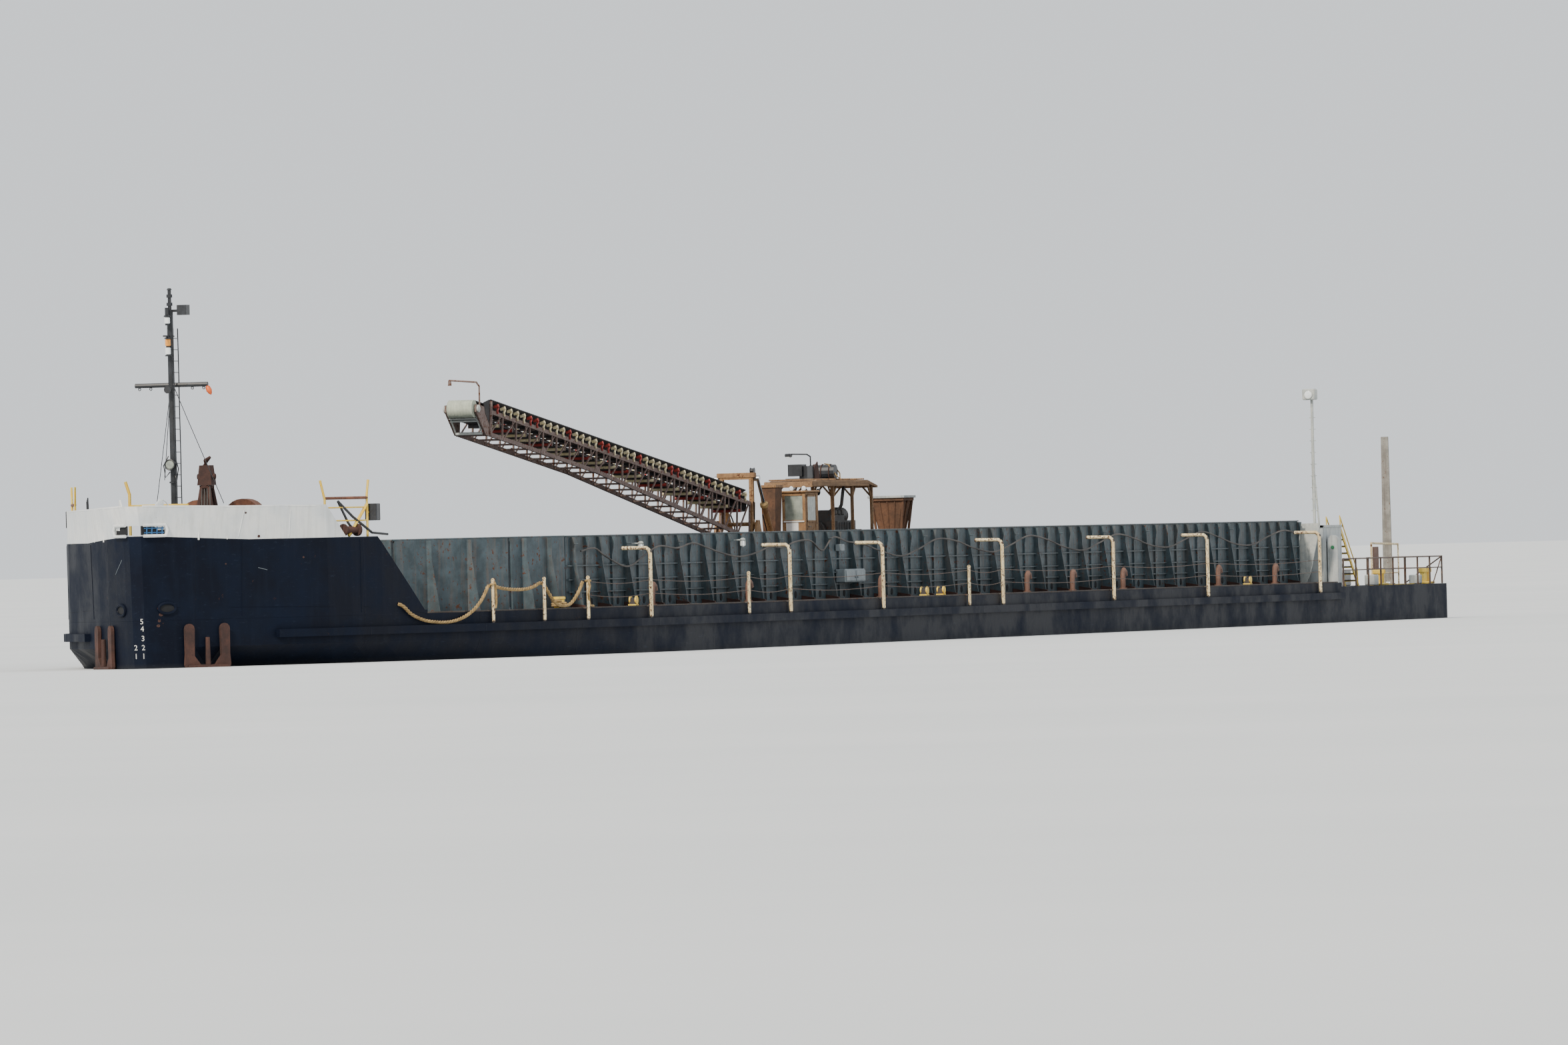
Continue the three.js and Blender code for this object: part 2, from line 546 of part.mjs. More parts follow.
function wingBitts() {
  const foot = WING_DECK + GAP;
  const parts = [];
  [11545, 12205].forEach((aft) => {
    parts.push(box(at(aft) - 42, at(aft) + 42, -845, -795, foot, foot + 8));
    [-24, 24].forEach((dx) => {
      parts.push(bar([at(aft) + dx, -820, foot + 4], [at(aft) + dx, -820, foot + 50], 13, 12));
      parts.push(bar([at(aft) + dx, -820, foot + 44], [at(aft) + dx, -820, foot + 56], 18, 12));
    });
  });
  parts.push(box(at(11545), at(12205), -822, -816, foot, foot + 3));
  return unite(parts);
}

function sternStair() {
  const foot = WING_DECK + GAP;
  const [x0, x1, top] = [at(11104), at(11352), 936];
  const rail = (y) => sideways([[x0, top], [x0, top - 20], [x1 - 22, foot], [x1, foot]], y, y + 4);
  const parts = [rail(-796), rail(-744)];
  for (let i = 1; i < 9; i += 1) {
    const z = foot + ((top - foot) * i) / 9;
    const x = x1 - 11 + ((x0 - x1 + 11) * i) / 9;
    parts.push(box(x - 10, x + 10, -793, -743, z - 9, z - 5.5));
  }
  parts.push(pipe([[x0 + 6, -794, top - 8], [x0 + 2, -794, top + 30], [x1 - 20, -794, foot + 60], [x1 - 14, -794, foot + 6]], 2.4, 6));
  return standing(unite(parts), foot);
}

// Two flat uprights that lean together, with cross plates between them and a cap.
function wingMast() {
  const foot = WING_DECK + GAP;
  const [x, y, thick, top] = [at(11895), -758, 4, 1270];
  const upright = (side) => {
    const ys = (near, far) => [y + side * near, y + side * far].sort((a, b) => a - b);
    return taperedBox([x - thick, x + thick, ...ys(9, 18.5), foot], [x - thick, x + thick, ...ys(5, 14), top]);
  };
  const parts = [upright(-1), upright(1), box(x - thick, x + thick, y - 12, y + 12, top - 8, top),
    box(x - 14, x + 14, y - 24, y + 24, foot, foot + 6)];
  for (let z = foot + 60; z < top - 40; z += 90) {
    parts.push(box(x - 2, x + 2, y - 11, y + 11, z, z + 26));
  }
  return unite(parts);
}

function sternLocker() {
  const [foot, width, centre] = [WING_DECK + GAP, 20, -825];
  const lid = arc([centre, 876], width, 0, 180, 8);
  return lengthways([[centre + width, foot], ...lid, [centre - width, foot]], at(10885), at(10915));
}

function wingGantry() {
  const foot = WING_DECK + GAP;
  const [x0, x1, y, top] = [at(11567), at(11947), -786, 862];
  return standing(unite([pipe([[x0, y, foot], [x0, y, top], [x1, y, top - 6]], 4.2, 8),
    bar([x1, y, top - 6], [x1, y, foot], 3, 8), bar([x0, y, foot + 46], [x1, y, foot + 46], 2.4, 6)]), foot);
}

// Unloading conveyor. The platform stands on legs in the bin, and the boom turns on its fore end.
const PLATFORM = { fore: 6110, aft: 8020, half: 142, top: 896, deep: 16 };
const SLEW_AFT = 6240;
const PIN = { aft: 6131, z: 985 };
const BOOM_SLOPE = THREE.MathUtils.degToRad(6.5);
const BOOM = { foot: 6110, length: 2836, low: -10, high: 80, half: 53, chord: 14, bays: 20 };
const BOOM_HEEL = { reach: 1700, low: -58 };   // the bottom chord drops towards the foot
const HEAD_DRUM = { along: 2961, up: 68, radius: 24, half: 46 };
const BELT = { thick: 4, half: 44, top: 98, low: 43, tail: 45 };
const CYLINDER = { foot: [6300, 930], eye: [6142, 1146], y: 74, barrel: 11, rod: 6 };

function conveyorStand() {
  const { fore, aft, half, top, deep } = PLATFORM;
  const parts = [box(at(fore), at(aft), -half, half, top - deep, top)];
  [6140, 6720, 7300, 7990].forEach((leg) => {
    [-1, 1].forEach((side) => {
      const y = side * (half - 14);
      parts.push(box(at(leg) - 9, at(leg) + 9, y - 9, y + 9, DECK + GAP, top - 2));
      parts.push(box(at(leg) - 22, at(leg) + 22, y - 22, y + 22, DECK + GAP, DECK + 6));
      if (leg < 7900) {
        parts.push(bar([at(leg), y, DECK + 20], [at(leg) + 570, y, top - deep - 4], 4.5, 6));
      }
    });
    parts.push(box(at(leg) - 5, at(leg) + 5, -half + 10, half - 10, DECK + 60, DECK + 72));
  });
  return unite(parts);
}

function turntable() {
  const foot = PLATFORM.top + GAP;
  const x = at(SLEW_AFT);
  const parts = [bar([x, 0, foot], [x, 0, foot + 12], 88, 24), box(x - 150, x + 78, -84, 84, foot + 10, foot + 22)];
  [-1, 1].forEach((side) => {
    const [near, far] = [side * 71, side * 79];
    const plate = [[x - 148, foot + 18], [x - 60, foot + 18], [at(PIN.aft) + 12, PIN.z + 14], [at(PIN.aft) - 12, PIN.z + 14],
      [x - 148, foot + 44]];
    parts.push(sideways(plate, Math.min(near, far), Math.max(near, far)));
    const lug = [[at(CYLINDER.foot[0]) - 14, foot + 18], [at(CYLINDER.foot[0]) + 14, foot + 18],
      [at(CYLINDER.foot[0]) + 6, CYLINDER.foot[1] + 8], [at(CYLINDER.foot[0]) - 6, CYLINDER.foot[1] + 8]];
    const inner = side * (CYLINDER.y - 16);
    parts.push(sideways(lug, Math.min(inner, inner - side * 4), Math.max(inner, inner - side * 4)));
  });
  return unite(parts);
}

// The boom is drawn along its own slope: s runs forward from its foot, n up from there.
function onBoom(s, n) {
  return [at(BOOM.foot) - s * Math.cos(BOOM_SLOPE) + n * Math.sin(BOOM_SLOPE),
    PIN.z + s * Math.sin(BOOM_SLOPE) + n * Math.cos(BOOM_SLOPE)];
}
const boomPath = (points) => points.map(([s, n]) => onBoom(s, n));

// Underside of the bottom chord: level, then dropping towards the foot.
const chordLow = (s) => BOOM.low + (BOOM_HEEL.low - BOOM.low) * Math.max(1 - s / BOOM_HEEL.reach, 0);

function boomTruss() {
  const { length, high, half, chord, bays } = BOOM;
  const [start, first] = [6, 2];
  const bay = (length - start) / bays;
  const strut = (outlinePoints, y0 = -half - 2, y1 = -half + 3) => sideways(boomPath(outlinePoints), y0, y1);
  const under = [first, BOOM_HEEL.reach, length].map((s) => [s, chordLow(s)]);
  const side = [
    strut([...under, ...under.map(([s, n]) => [s, n + chord]).reverse()], -half - 3, -half + 4),
    strut([[first, high - chord], [length, high - chord], [length, high], [first, high]], -half - 3, -half + 4)];
  const across = [];
  for (let i = 0; i <= bays; i += 1) {
    const s = start + i * bay;
    const [a, b, foot] = [Math.max(s - 4, first + 1), Math.min(s + 4, length), chordLow(s) + 3];
    side.push(strut([[a, foot], [b, foot], [b, high - 1], [a, high - 1]]));
    if (i < bays) {
      const next = chordLow(s + bay) + 3;
      side.push(strut([[s + bay - 9, next], [s + bay - 3, next], [s + 9, high - 3], [s + 3, high - 3]]));
    }
    across.push(strut([[a, foot - 2], [b, foot - 2], [b, foot + 4], [a, foot + 4]], -half, half));
    across.push(strut([[a, high - 6], [b, high - 6], [b, high - 1], [a, high - 1]], -half, half));
  }
  const panel = unite(side);
  return unite([panel, mirrored(panel), ...across]);
}

function boomPortal() {
  const parts = [];
  [-1, 1].forEach((side) => {
    const [near, far] = [side * 48, side * 58];
    parts.push(box(at(PIN.aft) - 9, at(PIN.aft) + 9, Math.min(near, far), Math.max(near, far), PIN.z - 12, 1156));
    const lug = [[at(CYLINDER.eye[0]) - 8, CYLINDER.eye[1] - 10], [at(CYLINDER.eye[0]) + 9, CYLINDER.eye[1] - 10],
      [at(CYLINDER.eye[0]) + 9, CYLINDER.eye[1] + 10], [at(CYLINDER.eye[0]) - 8, CYLINDER.eye[1] + 10]];
    const inner = side * 56;
    const outer = side * (CYLINDER.y - 9);
    parts.push(sideways(lug, Math.min(inner, outer), Math.max(inner, outer)));
    const gusset = boomPath([[-28, BOOM.low], [2 - GAP, BOOM_HEEL.low + 14], [2 - GAP, BOOM.high], [-28, BOOM.high]]);
    parts.push(sideways(gusset, Math.min(side * 52, side * 62), Math.max(side * 52, side * 62)));
  });
  parts.push(box(at(PIN.aft) - 9, at(PIN.aft) + 9, -58, 58, 1142, 1160));
  parts.push(bar([at(PIN.aft), -70.7, PIN.z], [at(PIN.aft), 70.7, PIN.z], 7, 10));
  return unite(parts);
}

function arc(centre, radius, from, to, steps) {
  const points = [];
  for (let i = 0; i <= steps; i += 1) {
    const turn = THREE.MathUtils.degToRad(from + ((to - from) * i) / steps);
    points.push([centre[0] + radius * Math.cos(turn), centre[1] + radius * Math.sin(turn)]);
  }
  return points;
}

// The belt is one loop: over the idlers, round the head drum and back inside the truss.
function boomBelt() {
  const loop = (grow) => boomPath([
    ...arc([HEAD_DRUM.along, HEAD_DRUM.up], HEAD_DRUM.radius + 1 + grow, -96, 87, 12),
    [2740, BELT.top - BELT.thick + grow],
    ...arc([BELT.tail, (BELT.top - BELT.thick + BELT.low) / 2], (BELT.top - BELT.thick - BELT.low) / 2 + grow, 90, 270, 8),
    [2560, BELT.low - grow],
  ]);
  return sideways(loop(BELT.thick), -BELT.half, BELT.half).subtract(sideways(loop(0), -BELT.half - 1, BELT.half + 1));
}

function headDrum() {
  const [x, z] = onBoom(HEAD_DRUM.along, HEAD_DRUM.up);
  return unite([bar([x, -HEAD_DRUM.half, z], [x, HEAD_DRUM.half, z], HEAD_DRUM.radius, 24),
    bar([x, -HEAD_DRUM.half - 3.7, z], [x, HEAD_DRUM.half + 3.7, z], 8, 10)]);
}

function boomHead() {
  const parts = [];
  const lip = BOOM.length + GAP;
  const { along: reach, up } = HEAD_DRUM;
  [-1, 1].forEach((side) => {
    const [near, far] = [side * 50, side * 56];
    const plate = boomPath([[lip, BOOM.low], [lip + 36, BOOM.low], [reach + 14, up - 12], [reach + 14, up + 12],
      [reach - 14, up + 16], [lip, BOOM.high]]);
    parts.push(sideways(plate, Math.min(near, far), Math.max(near, far)));
  });
  [lip, lip + 26].forEach((s) => {
    parts.push(sideways(boomPath([[s, BOOM.low], [s + 10, BOOM.low], [s + 10, BOOM.low + 8], [s, BOOM.low + 8]]), -56, 56));
  });
  const [px, pz] = onBoom(2933, 84);
  parts.push(pipe([[px, -53, pz - 4], [px, -53, pz + 62], [px - 8, -46, pz + 76], [px - 8, 50, pz + 84]], 3, 6));
  parts.push(bar([px - 8, 48, pz + 84], [px - 8, 48, pz + 66], 5, 8, 7));
  return unite(parts);
}

function boomIdlers() {
  const foot = BOOM.high + GAP;
  const parts = [];
  parts.push(sideways(boomPath([[60, foot], [2820, foot], [2820, foot + 3], [60, foot + 3]]), -4, 4));
  const [inside, outside, roller, top] = [46, 52, BELT.top - BELT.thick - GAP, foot + 24];
  for (let s = 70; s <= 2816; s += 69) {
    const frame = lengthways([[-outside, 0], [outside, 0], [outside, top - foot], [inside, top - foot],
      [inside, roller - foot], [-inside, roller - foot], [-inside, top - foot], [-outside, top - foot]], -3, 3);
    const [x, z] = onBoom(s, foot);
    const place = new THREE.Matrix4().makeRotationY(BOOM_SLOPE).setPosition(x, 0, z);
    parts.push(frame.transform(place.elements));
  }
  return unite(parts);
}

function cylinderParts(side) {
  const [fx, fz] = [at(CYLINDER.foot[0]), CYLINDER.foot[1]];
  const [ex, ez] = [at(CYLINDER.eye[0]), CYLINDER.eye[1]];
  const y = side * CYLINDER.y;
  const run = Math.hypot(ex - fx, ez - fz);
  const point = (part) => [fx + (ex - fx) * part, y, fz + (ez - fz) * part];
  const barrelEnd = 150 / run;
  const barrel = unite([bar(point(0), point(barrelEnd), CYLINDER.barrel, 12),
    bar([fx, y - side * 15.7, fz], [fx, y + side * 8, fz], 8, 10)]);
  const bore = bar(point(20 / run), point(1), CYLINDER.rod + GAP, 10);
  const rod = unite([bar(point(50 / run), point(1 - 9 / run), CYLINDER.rod, 10),
    bar([ex, y - side * 8.7, ez], [ex, y + side * 8, ez], 10, 12)]);
  return { barrel: barrel.subtract(bore), rod };
}

function cabShell() {
  const [x0, x1, y0, y1, z0, z1, wall] = [at(6510), at(6660), -130, -44, PLATFORM.top + GAP, 1096, 5];
  const cuts = [
    box(x0 + wall, x1 - wall, y0 + wall, y1 - wall, z0 + wall, z1 - wall),
    box(x0 - 1, x0 + wall + 1, y0 + 10, y1 - 10, 996, 1082),
    box(x0 - 1, x0 + wall + 1, y0 + 26, y1 - 14, 930, 986),
    box(x0 + 14, x1 - 22, y0 - 1, y0 + wall + 1, z0 + 8, 1086),
    box(x0 + 20, x1 - 20, y1 - wall - 1, y1 + 1, 1000, 1078),
    box(x1 - wall - 1, x1 + 1, y0 + 14, y1 - 14, 1000, 1078),
  ];
  return cuts.reduce((sum, cut) => sum.subtract(cut), box(x0, x1, y0, y1, z0, z1));
}

function cabDoor() {
  const [x0, x1, y0, z0, z1] = [at(6510) + 15, at(6660) - 22.3, -130, PLATFORM.top + GAP + 9, 1085];
  return box(x0, x1, y0 + 0.5, y0 + 4.5, z0, z1).subtract(box(x0 + 10, x1 - 10, y0 - 1, y0 + 6, 990, 1074));
}

function canopySolid() {
  const foot = PLATFORM.top + GAP;
  const [x0, x1, half] = [at(6740), at(7510), 86];
  const roof = sideways([[x0 - 10, 1118], [x0 + 60, 1124], [x1 - 120, 1124], [x1, 1108], [x1, 1116], [x1 - 120, 1136],
    [x0 + 60, 1138], [x0 - 10, 1128]], -half, half);
  const parts = [roof];
  [6780, 7010, 7240, 7470].forEach((aft) => {
    [-1, 1].forEach((side) => {
      const y = side * 74;
      parts.push(box(at(aft) - 5, at(aft) + 5, y - 5, y + 5, foot, 1126 - (aft > 7400 ? 12 : 0)));
      const way = aft > 7400 ? -1 : 1;
      parts.push(bar([at(aft), y, 1070], [at(aft) + way * 46, y, 1120], 3.5, 6));
      parts.push(bar([at(aft), y, 1074], [at(aft), y - side * 40, 1120], 3.5, 6));
    });
  });
  return unite(parts);
}

function engineBlock() {
  const foot = PLATFORM.top + GAP;
  return unite([box(at(7060), at(7330), -56, 56, foot, foot + 96), box(at(7090), at(7250), -40, 40, foot + 90, foot + 120),
    bar([at(7040), 0, foot + 60], [at(7062), 0, foot + 60], 34, 12)]);
}

function roofGear() {
  const foot = 1138 + GAP;
  return standing(unite([
    box(at(6800), at(7130), -40, 34, foot, foot + 6),
    bar([at(7090), -62, foot + 27], [at(7090), 34, foot + 27], 27, 14),
    box(at(6812), at(6868), -24, 28, foot + 14, foot + 56),
    box(at(6826), at(6900), -40, -10, foot + 4, foot + 50),
    pipe([[at(6960), -10, foot + 4], [at(6960), -10, foot + 84], [at(6950), 0, foot + 92], [at(6930), 62, foot + 94]], 2.6, 6),
  ]), foot);
}

function hopperSolid() {
  const foot = PLATFORM.top + GAP;
  const outer = taperedBox([at(7915), at(7985), -30, 30, foot + 30], [at(7892), at(8008), -58, 58, 1066]);
  const inner = taperedBox([at(7920), at(7980), -25, 25, foot + 29], [at(7897), at(8003), -53, 53, 1067]);
  const rimOut = box(at(7886), at(8014), -64, 64, 1060, 1073);
  const rimIn = box(at(7896), at(8004), -54, 54, 1058, 1075);
  const parts = [outer.subtract(inner), rimOut.subtract(rimIn)];
  [[7915, -42], [7985, -42], [7915, 42], [7985, 42]].forEach(([aft, y]) => {
    parts.push(bar([at(aft), y, foot], [at(aft) + (aft > 7950 ? 20 : -20), y * 1.42, 1062], 5, 8));
  });
  return standing(unite(parts), foot);
}

function chuteSolid() {
  const foot = PLATFORM.top + GAP;
  const outer = taperedBox([at(6392), at(6450), -54, -12, foot], [at(6380), at(6460), -62, -6, 1118]);
  const inner = taperedBox([at(6397), at(6445), -49, -17, foot + 40], [at(6385), at(6455), -57, -11, 1120]);
  return outer.subtract(inner);
}

// Places on a smooth line through the given [aft, y, z] points.
function along(points, steps) {
  const curve = new THREE.CatmullRomCurve3(points.map(([aft, y, z]) => new THREE.Vector3(at(aft), y, z)), false, 'centripetal');
  return curve.getSpacedPoints(steps).map((point) => point.toArray());
}

// Mooring rope: out of a chock, over the posts along the deck edge and past the bitt.
const ROPE_RADIUS = 6;
const ROPE = [[868, -548, 754], [892, -569, 741], [930, -582, 716], [990, -601, 696], [1063, -622, 687],
  [1140, -643, 687], [1210, -663, 700], [1262, -679, 722], [1310, -688, 750], [1350, -693, 782],
  [1368, -694, 797], [1395, -701, 797], [1450, -716, 789], [1530, -735, 784], [1600, -750, 786],
  [1650, -760, 795], [1680, -764, 803], [1705, -768, 799], [1735, -773, 775], [1768, -780, 745],
  [1798, -785, 732], [1835, -786, 727.5], [1880, -787, 727.5], [1915, -793, 737], [1942, -803, 762],
  [1958, -811, 788], [1964, -815, 804]];
function mooringRope() {
  const side = deckEdge(780, 1040, GAP).concat([[at(1040), -300], [at(780), -300]]);
  return pipe(along(ROPE, 78), ROPE_RADIUS, 8).subtract(upright(side, DECK - 40, FORECASTLE_DECK));
}

// Cable that hangs in swags along the bin, laid over the webs: [aft, z].
const CABLE = [[2150, 903], [2300, 911], [2387, 888], [2605, 849], [2790, 880], [2960, 913], [3160, 906], [3330, 921],
  [3480, 905], [3650, 884], [3830, 872], [4010, 884], [4170, 902], [4320, 900], [4432, 916], [4619, 920], [4748, 886],
  [4873, 930], [5034, 914], [5200, 906], [5420, 878], [5640, 860], [5860, 884], [6080, 916], [6300, 908], [6520, 880],
  [6740, 866], [6960, 890], [7180, 920], [7400, 906], [7620, 876], [7840, 864], [8060, 890], [8280, 918], [8500, 902],
  [8720, 874], [8940, 868], [9160, 894], [9380, 920], [9600, 900], [9820, 872], [10040, 868], [10260, 896],
  [10480, 918], [10690, 905]];
function festoonCable() {
  const radius = 3;
  const [[deep, low], [slim, high]] = WEB.profile.slice(1, 3);
  const route = along(CABLE.map(([aft, z]) => [aft, 0, z]), 88);
  const depth = (z) => deep + ((slim - deep) * (z - 2 * radius - low)) / (high - low);
  const clear = (z) => Math.max(depth(z), slim) + radius + 0.6;
  return pipe(route.map(([x, , z]) => [x, -WALL_Y - PLATE - clear(z), z]), radius, 6);
}

// The assembly
addPiece('hull', hullSolid(), 'hull');
addPiece('forecastle', forecastleSolid(), 'hull');
addPiece('bulwark', bulwarkSolid(), 'bulwark');
addPiece('rub_rail_port', rubRail(378), 'hull');
addPiece('rub_rail_starboard', mirrored(rubRail(321)), 'hull');
addPair('anchor', anchorSolid(), 'rust');
addPair('bin_wall', sideWall(), 'wall');
addPair('bin_fore_panel', angledWall([BIN_FORE + 12, BIN_FORE_HALF + 4], [BIN_KNEE[0] - 2, BIN_KNEE[1]],
  [1362, 1526]), 'wall');
addPair('bin_knee_panel', angledWall([BIN_KNEE[0] + 8, BIN_KNEE[1] + 8], [BIN_STRAIGHT - 6, WALL_Y],
  [1770, 1930]), 'wall');
addPiece('bin_wall_fore', crossWall(BIN_FORE, BIN_FORE_HALF, -1), 'wall');
addPiece('bin_wall_aft', crossWall(BIN_AFT - PLATE - 1, WALL_Y - 1, -1), 'wall');
addPair('side_deck', sideDeck(), 'deck');
addPiece('mooring_rope', mooringRope(), 'cream');
addPiece('festoon_cable', festoonCable(), 'belt');
addPiece('mast', mastSolid(), 'black');
addPiece('mast_ladder', mastLadder(), 'black');
addPair('winch_hood', winchHood(), 'rust');
addPiece('windlass', windlassBed(), 'rust');
addPiece('pedestal_stand', pedestalStand(), 'rust');
addPiece('pedestal_head', pedestalHead(), 'rust');
addPair('deck_gate', deckGate(), 'yellow');
addPiece('bow_rail', bowRail(), 'yellow');
addPair('end_bracket', endBracket(), 'house');
addPiece('stern_house', sternHouse(), 'house');
addPiece('stern_locker', sternLocker(), 'house');
addPiece('flood_mast', floodMast(), 'steel');
addPair('wing_rail', wingRail(), 'black');
addPair('wing_bitts', wingBitts(), 'yellow');
addPiece('stern_stair', sternStair(), 'yellow');
addPiece('wing_mast', wingMast(), 'timber');
addPiece('wing_gantry', wingGantry(), 'cream');
addPiece('conveyor_stand', conveyorStand(), 'ochre');
addPiece('turntable', turntable(), 'ochre');
addPiece('boom_truss', boomTruss(), 'boom');
addPiece('boom_portal', boomPortal(), 'ochre');
addPiece('boom_belt', boomBelt(), 'belt');
addPiece('head_drum', headDrum(), 'drum');
addPiece('boom_head', boomHead(), 'boom');
addPiece('boom_idlers', boomIdlers(), 'idler');
[['port', -1], ['starboard', 1]].forEach(([name, side]) => {
  const { barrel, rod } = cylinderParts(side);
  addPiece(`luff_barrel_${name}`, barrel, 'ochre');
  addPiece(`luff_rod_${name}`, rod, 'steel');
});
addPiece('cab', cabShell(), 'ochre');
addPiece('cab_door', cabDoor(), 'ochre');
addPiece('canopy', canopySolid(), 'timber');
addPiece('engine', engineBlock(), 'black');
addPiece('roof_gear', roofGear(), 'black');
addPiece('hopper', hopperSolid(), 'hopper');
addPiece('chute', chuteSolid(), 'ochre');

export default barge;
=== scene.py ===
"""River barge with an open cargo bin, a pusher notch and an unloading conveyor, at 1:10 scale.

Metres. +X runs aft, +Y to starboard and +Z up, and the origin is under the middle of the flat
bottom. Places are given in millimetres aft of the stem, to starboard and above the flat bottom,
which are also the sizes in the part's source.
"""

import logging
import math
from dataclasses import dataclass
from enum import Enum

import bpy
from mathutils import Matrix, Vector


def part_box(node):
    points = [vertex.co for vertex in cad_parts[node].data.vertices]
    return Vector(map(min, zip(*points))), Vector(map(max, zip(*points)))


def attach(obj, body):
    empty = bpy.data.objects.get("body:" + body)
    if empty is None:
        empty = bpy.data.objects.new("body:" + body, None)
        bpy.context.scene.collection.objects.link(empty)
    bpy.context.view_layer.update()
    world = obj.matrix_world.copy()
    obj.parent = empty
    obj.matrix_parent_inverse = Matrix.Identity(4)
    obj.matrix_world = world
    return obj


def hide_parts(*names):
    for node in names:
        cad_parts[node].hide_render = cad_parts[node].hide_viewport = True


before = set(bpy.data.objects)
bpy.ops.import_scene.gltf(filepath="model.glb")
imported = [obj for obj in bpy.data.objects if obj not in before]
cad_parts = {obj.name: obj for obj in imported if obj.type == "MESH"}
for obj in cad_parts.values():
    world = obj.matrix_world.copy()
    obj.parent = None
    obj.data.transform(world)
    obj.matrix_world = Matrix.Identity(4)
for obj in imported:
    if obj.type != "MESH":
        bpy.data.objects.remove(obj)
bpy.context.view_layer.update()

LENGTH = 12335
STEM_OVERHANG = 52      # the bulwark's top reaches this far forward of the stem
DECK = 716
WATERLINE = 566
FORECASTLE_DECK = 966
WING_DECK = 700
WALL_TOP = 951
WALL_FACE = 730         # outer face of the straight bin walls

Place = tuple[float, float, float]
Socket = bpy.types.NodeSocket

log = logging.getLogger("barge")


class Body(Enum):
    """Bodies of the part that carry pieces made here."""

    BARGE = "barge"
    BOOM = "boom"
    BARRELS = "luff_barrels"
    DOOR = "cab_door"


class Side(Enum):
    """Which side of the barge, as the sign of Y."""

    PORT = -1
    STARBOARD = 1


def spot(aft: float, across: float, up: float) -> Vector:
    """Point in metres from its distances in millimetres.

    Args:
        aft: Distance back from the stem.
        across: Distance to starboard of the centre line.
        up: Height above the flat bottom.

    Returns:
        The point in the part's frame.
    """
    return Vector(((aft + STEM_OVERHANG - LENGTH / 2) / 1000, across / 1000, up / 1000))


def linear(code: str) -> tuple[float, float, float, float]:
    """Turns an sRGB hex colour into Blender's linear one.

    Args:
        code: Colour such as "#c9ced2".

    Returns:
        Red, green, blue and an alpha of 1.
    """
    channels = [int(code[i : i + 2], 16) / 255 for i in (1, 3, 5)]
    red, green, blue = [c / 12.92 if c <= 0.04045 else ((c + 0.055) / 1.055) ** 2.4 for c in channels]
    return red, green, blue, 1.0


def per_metre(size_mm: float) -> float:
    """Texture scale that gives details of this size in millimetres."""
    return 1000 / size_mm


def add_node(
    tree: bpy.types.NodeTree, kind: str, settings: dict | None = None, links: dict | None = None
) -> bpy.types.Node:
    """Adds one shader node.

    Args:
        tree: The material's node tree.
        kind: The node's type without its "ShaderNode" start.
        settings: Values by the name of a property, or the name or number of an input.
        links: Output sockets by the name or number of the input that they feed.

    Returns:
        The new node.
    """
    node = tree.nodes.new("ShaderNode" + kind)
    for key, value in (settings or {}).items():
        if isinstance(key, str) and hasattr(node, key):
            setattr(node, key, value)
        else:
            node.inputs[key].default_value = value
    for key, output in (links or {}).items():
        tree.links.new(output, node.inputs[key])
    return node


@dataclass(frozen=True)
class Palette:
    """Adds the nodes of one material and gives back their results as sockets.

    Attributes:
        tree: The material's node tree.
        shader: Its Principled shader.
    """

    tree: bpy.types.NodeTree
    shader: bpy.types.Node

    def place(self, stretch: Place = (1, 1, 1)) -> Socket:
        """Object coordinates, scaled along each axis where a stretch is given."""
        place = add_node(self.tree, "TexCoord").outputs["Object"]
        if stretch == (1, 1, 1):
            return place
        return add_node(self.tree, "Mapping", {"Scale": stretch}, {"Vector": place}).outputs[0]

    def noise(self, size: float, detail: float, roughness: float, place: Socket) -> Socket:
        """Noise whose details are of this size in mm."""
        settings = {"Scale": per_metre(size), "Detail": detail, "Roughness": roughness}
        return add_node(self.tree, "TexNoise", settings, {"Vector": place}).outputs[0]

    def ramp(
        self, value: Socket, start: float = 0, end: float = 1, low: float = 0, high: float = 1,
    ) -> Socket:
        """Value that goes from low to high while the given one goes from start to end."""
        settings = {"From Min": start, "From Max": end, "To Min": low, "To Max": high}
        return add_node(self.tree, "MapRange", settings, {"Value": value}).outputs[0]

    def mix(self, share: Socket, first: Socket | str, second: Socket | str) -> Socket:
        """Colour between two, each a socket or a hex code."""
        node = add_node(self.tree, "Mix", {"data_type": "RGBA"}, {0: share})
        for number, colour in ((6, first), (7, second)):
            if isinstance(colour, str):
                node.inputs[number].default_value = linear(colour)
            else:
                self.tree.links.new(colour, node.inputs[number])
        return node.outputs[2]

    def blend(self, value: Socket, factor: float, added: Socket) -> Socket:
        """Value times a factor, with another value added."""
        settings = {"operation": "MULTIPLY_ADD", 1: factor}
        return add_node(self.tree, "Math", settings, {0: value, 2: added}).outputs[0]

    def apply(
        self, colour: Socket, roughness: Socket | float, height: Socket, strength: float, depth: float,
    ) -> None:
        """Feeds the shader.

        Args:
            colour: Its base colour.
            roughness: Its roughness, as a socket or a value.
            height: Relief that shades the surface.
            strength: How strongly the relief shows.
            depth: Depth of the relief, m.
        """
        settings = {"Strength": strength, "Distance": depth}
        relief = add_node(self.tree, "Bump", settings, {"Height": height}).outputs[0]
        self.tree.links.new(colour, self.shader.inputs["Base Color"])
        self.tree.links.new(relief, self.shader.inputs["Normal"])
        if isinstance(roughness, Socket):
            self.tree.links.new(roughness, self.shader.inputs["Roughness"])
        else:
            self.shader.inputs["Roughness"].default_value = roughness


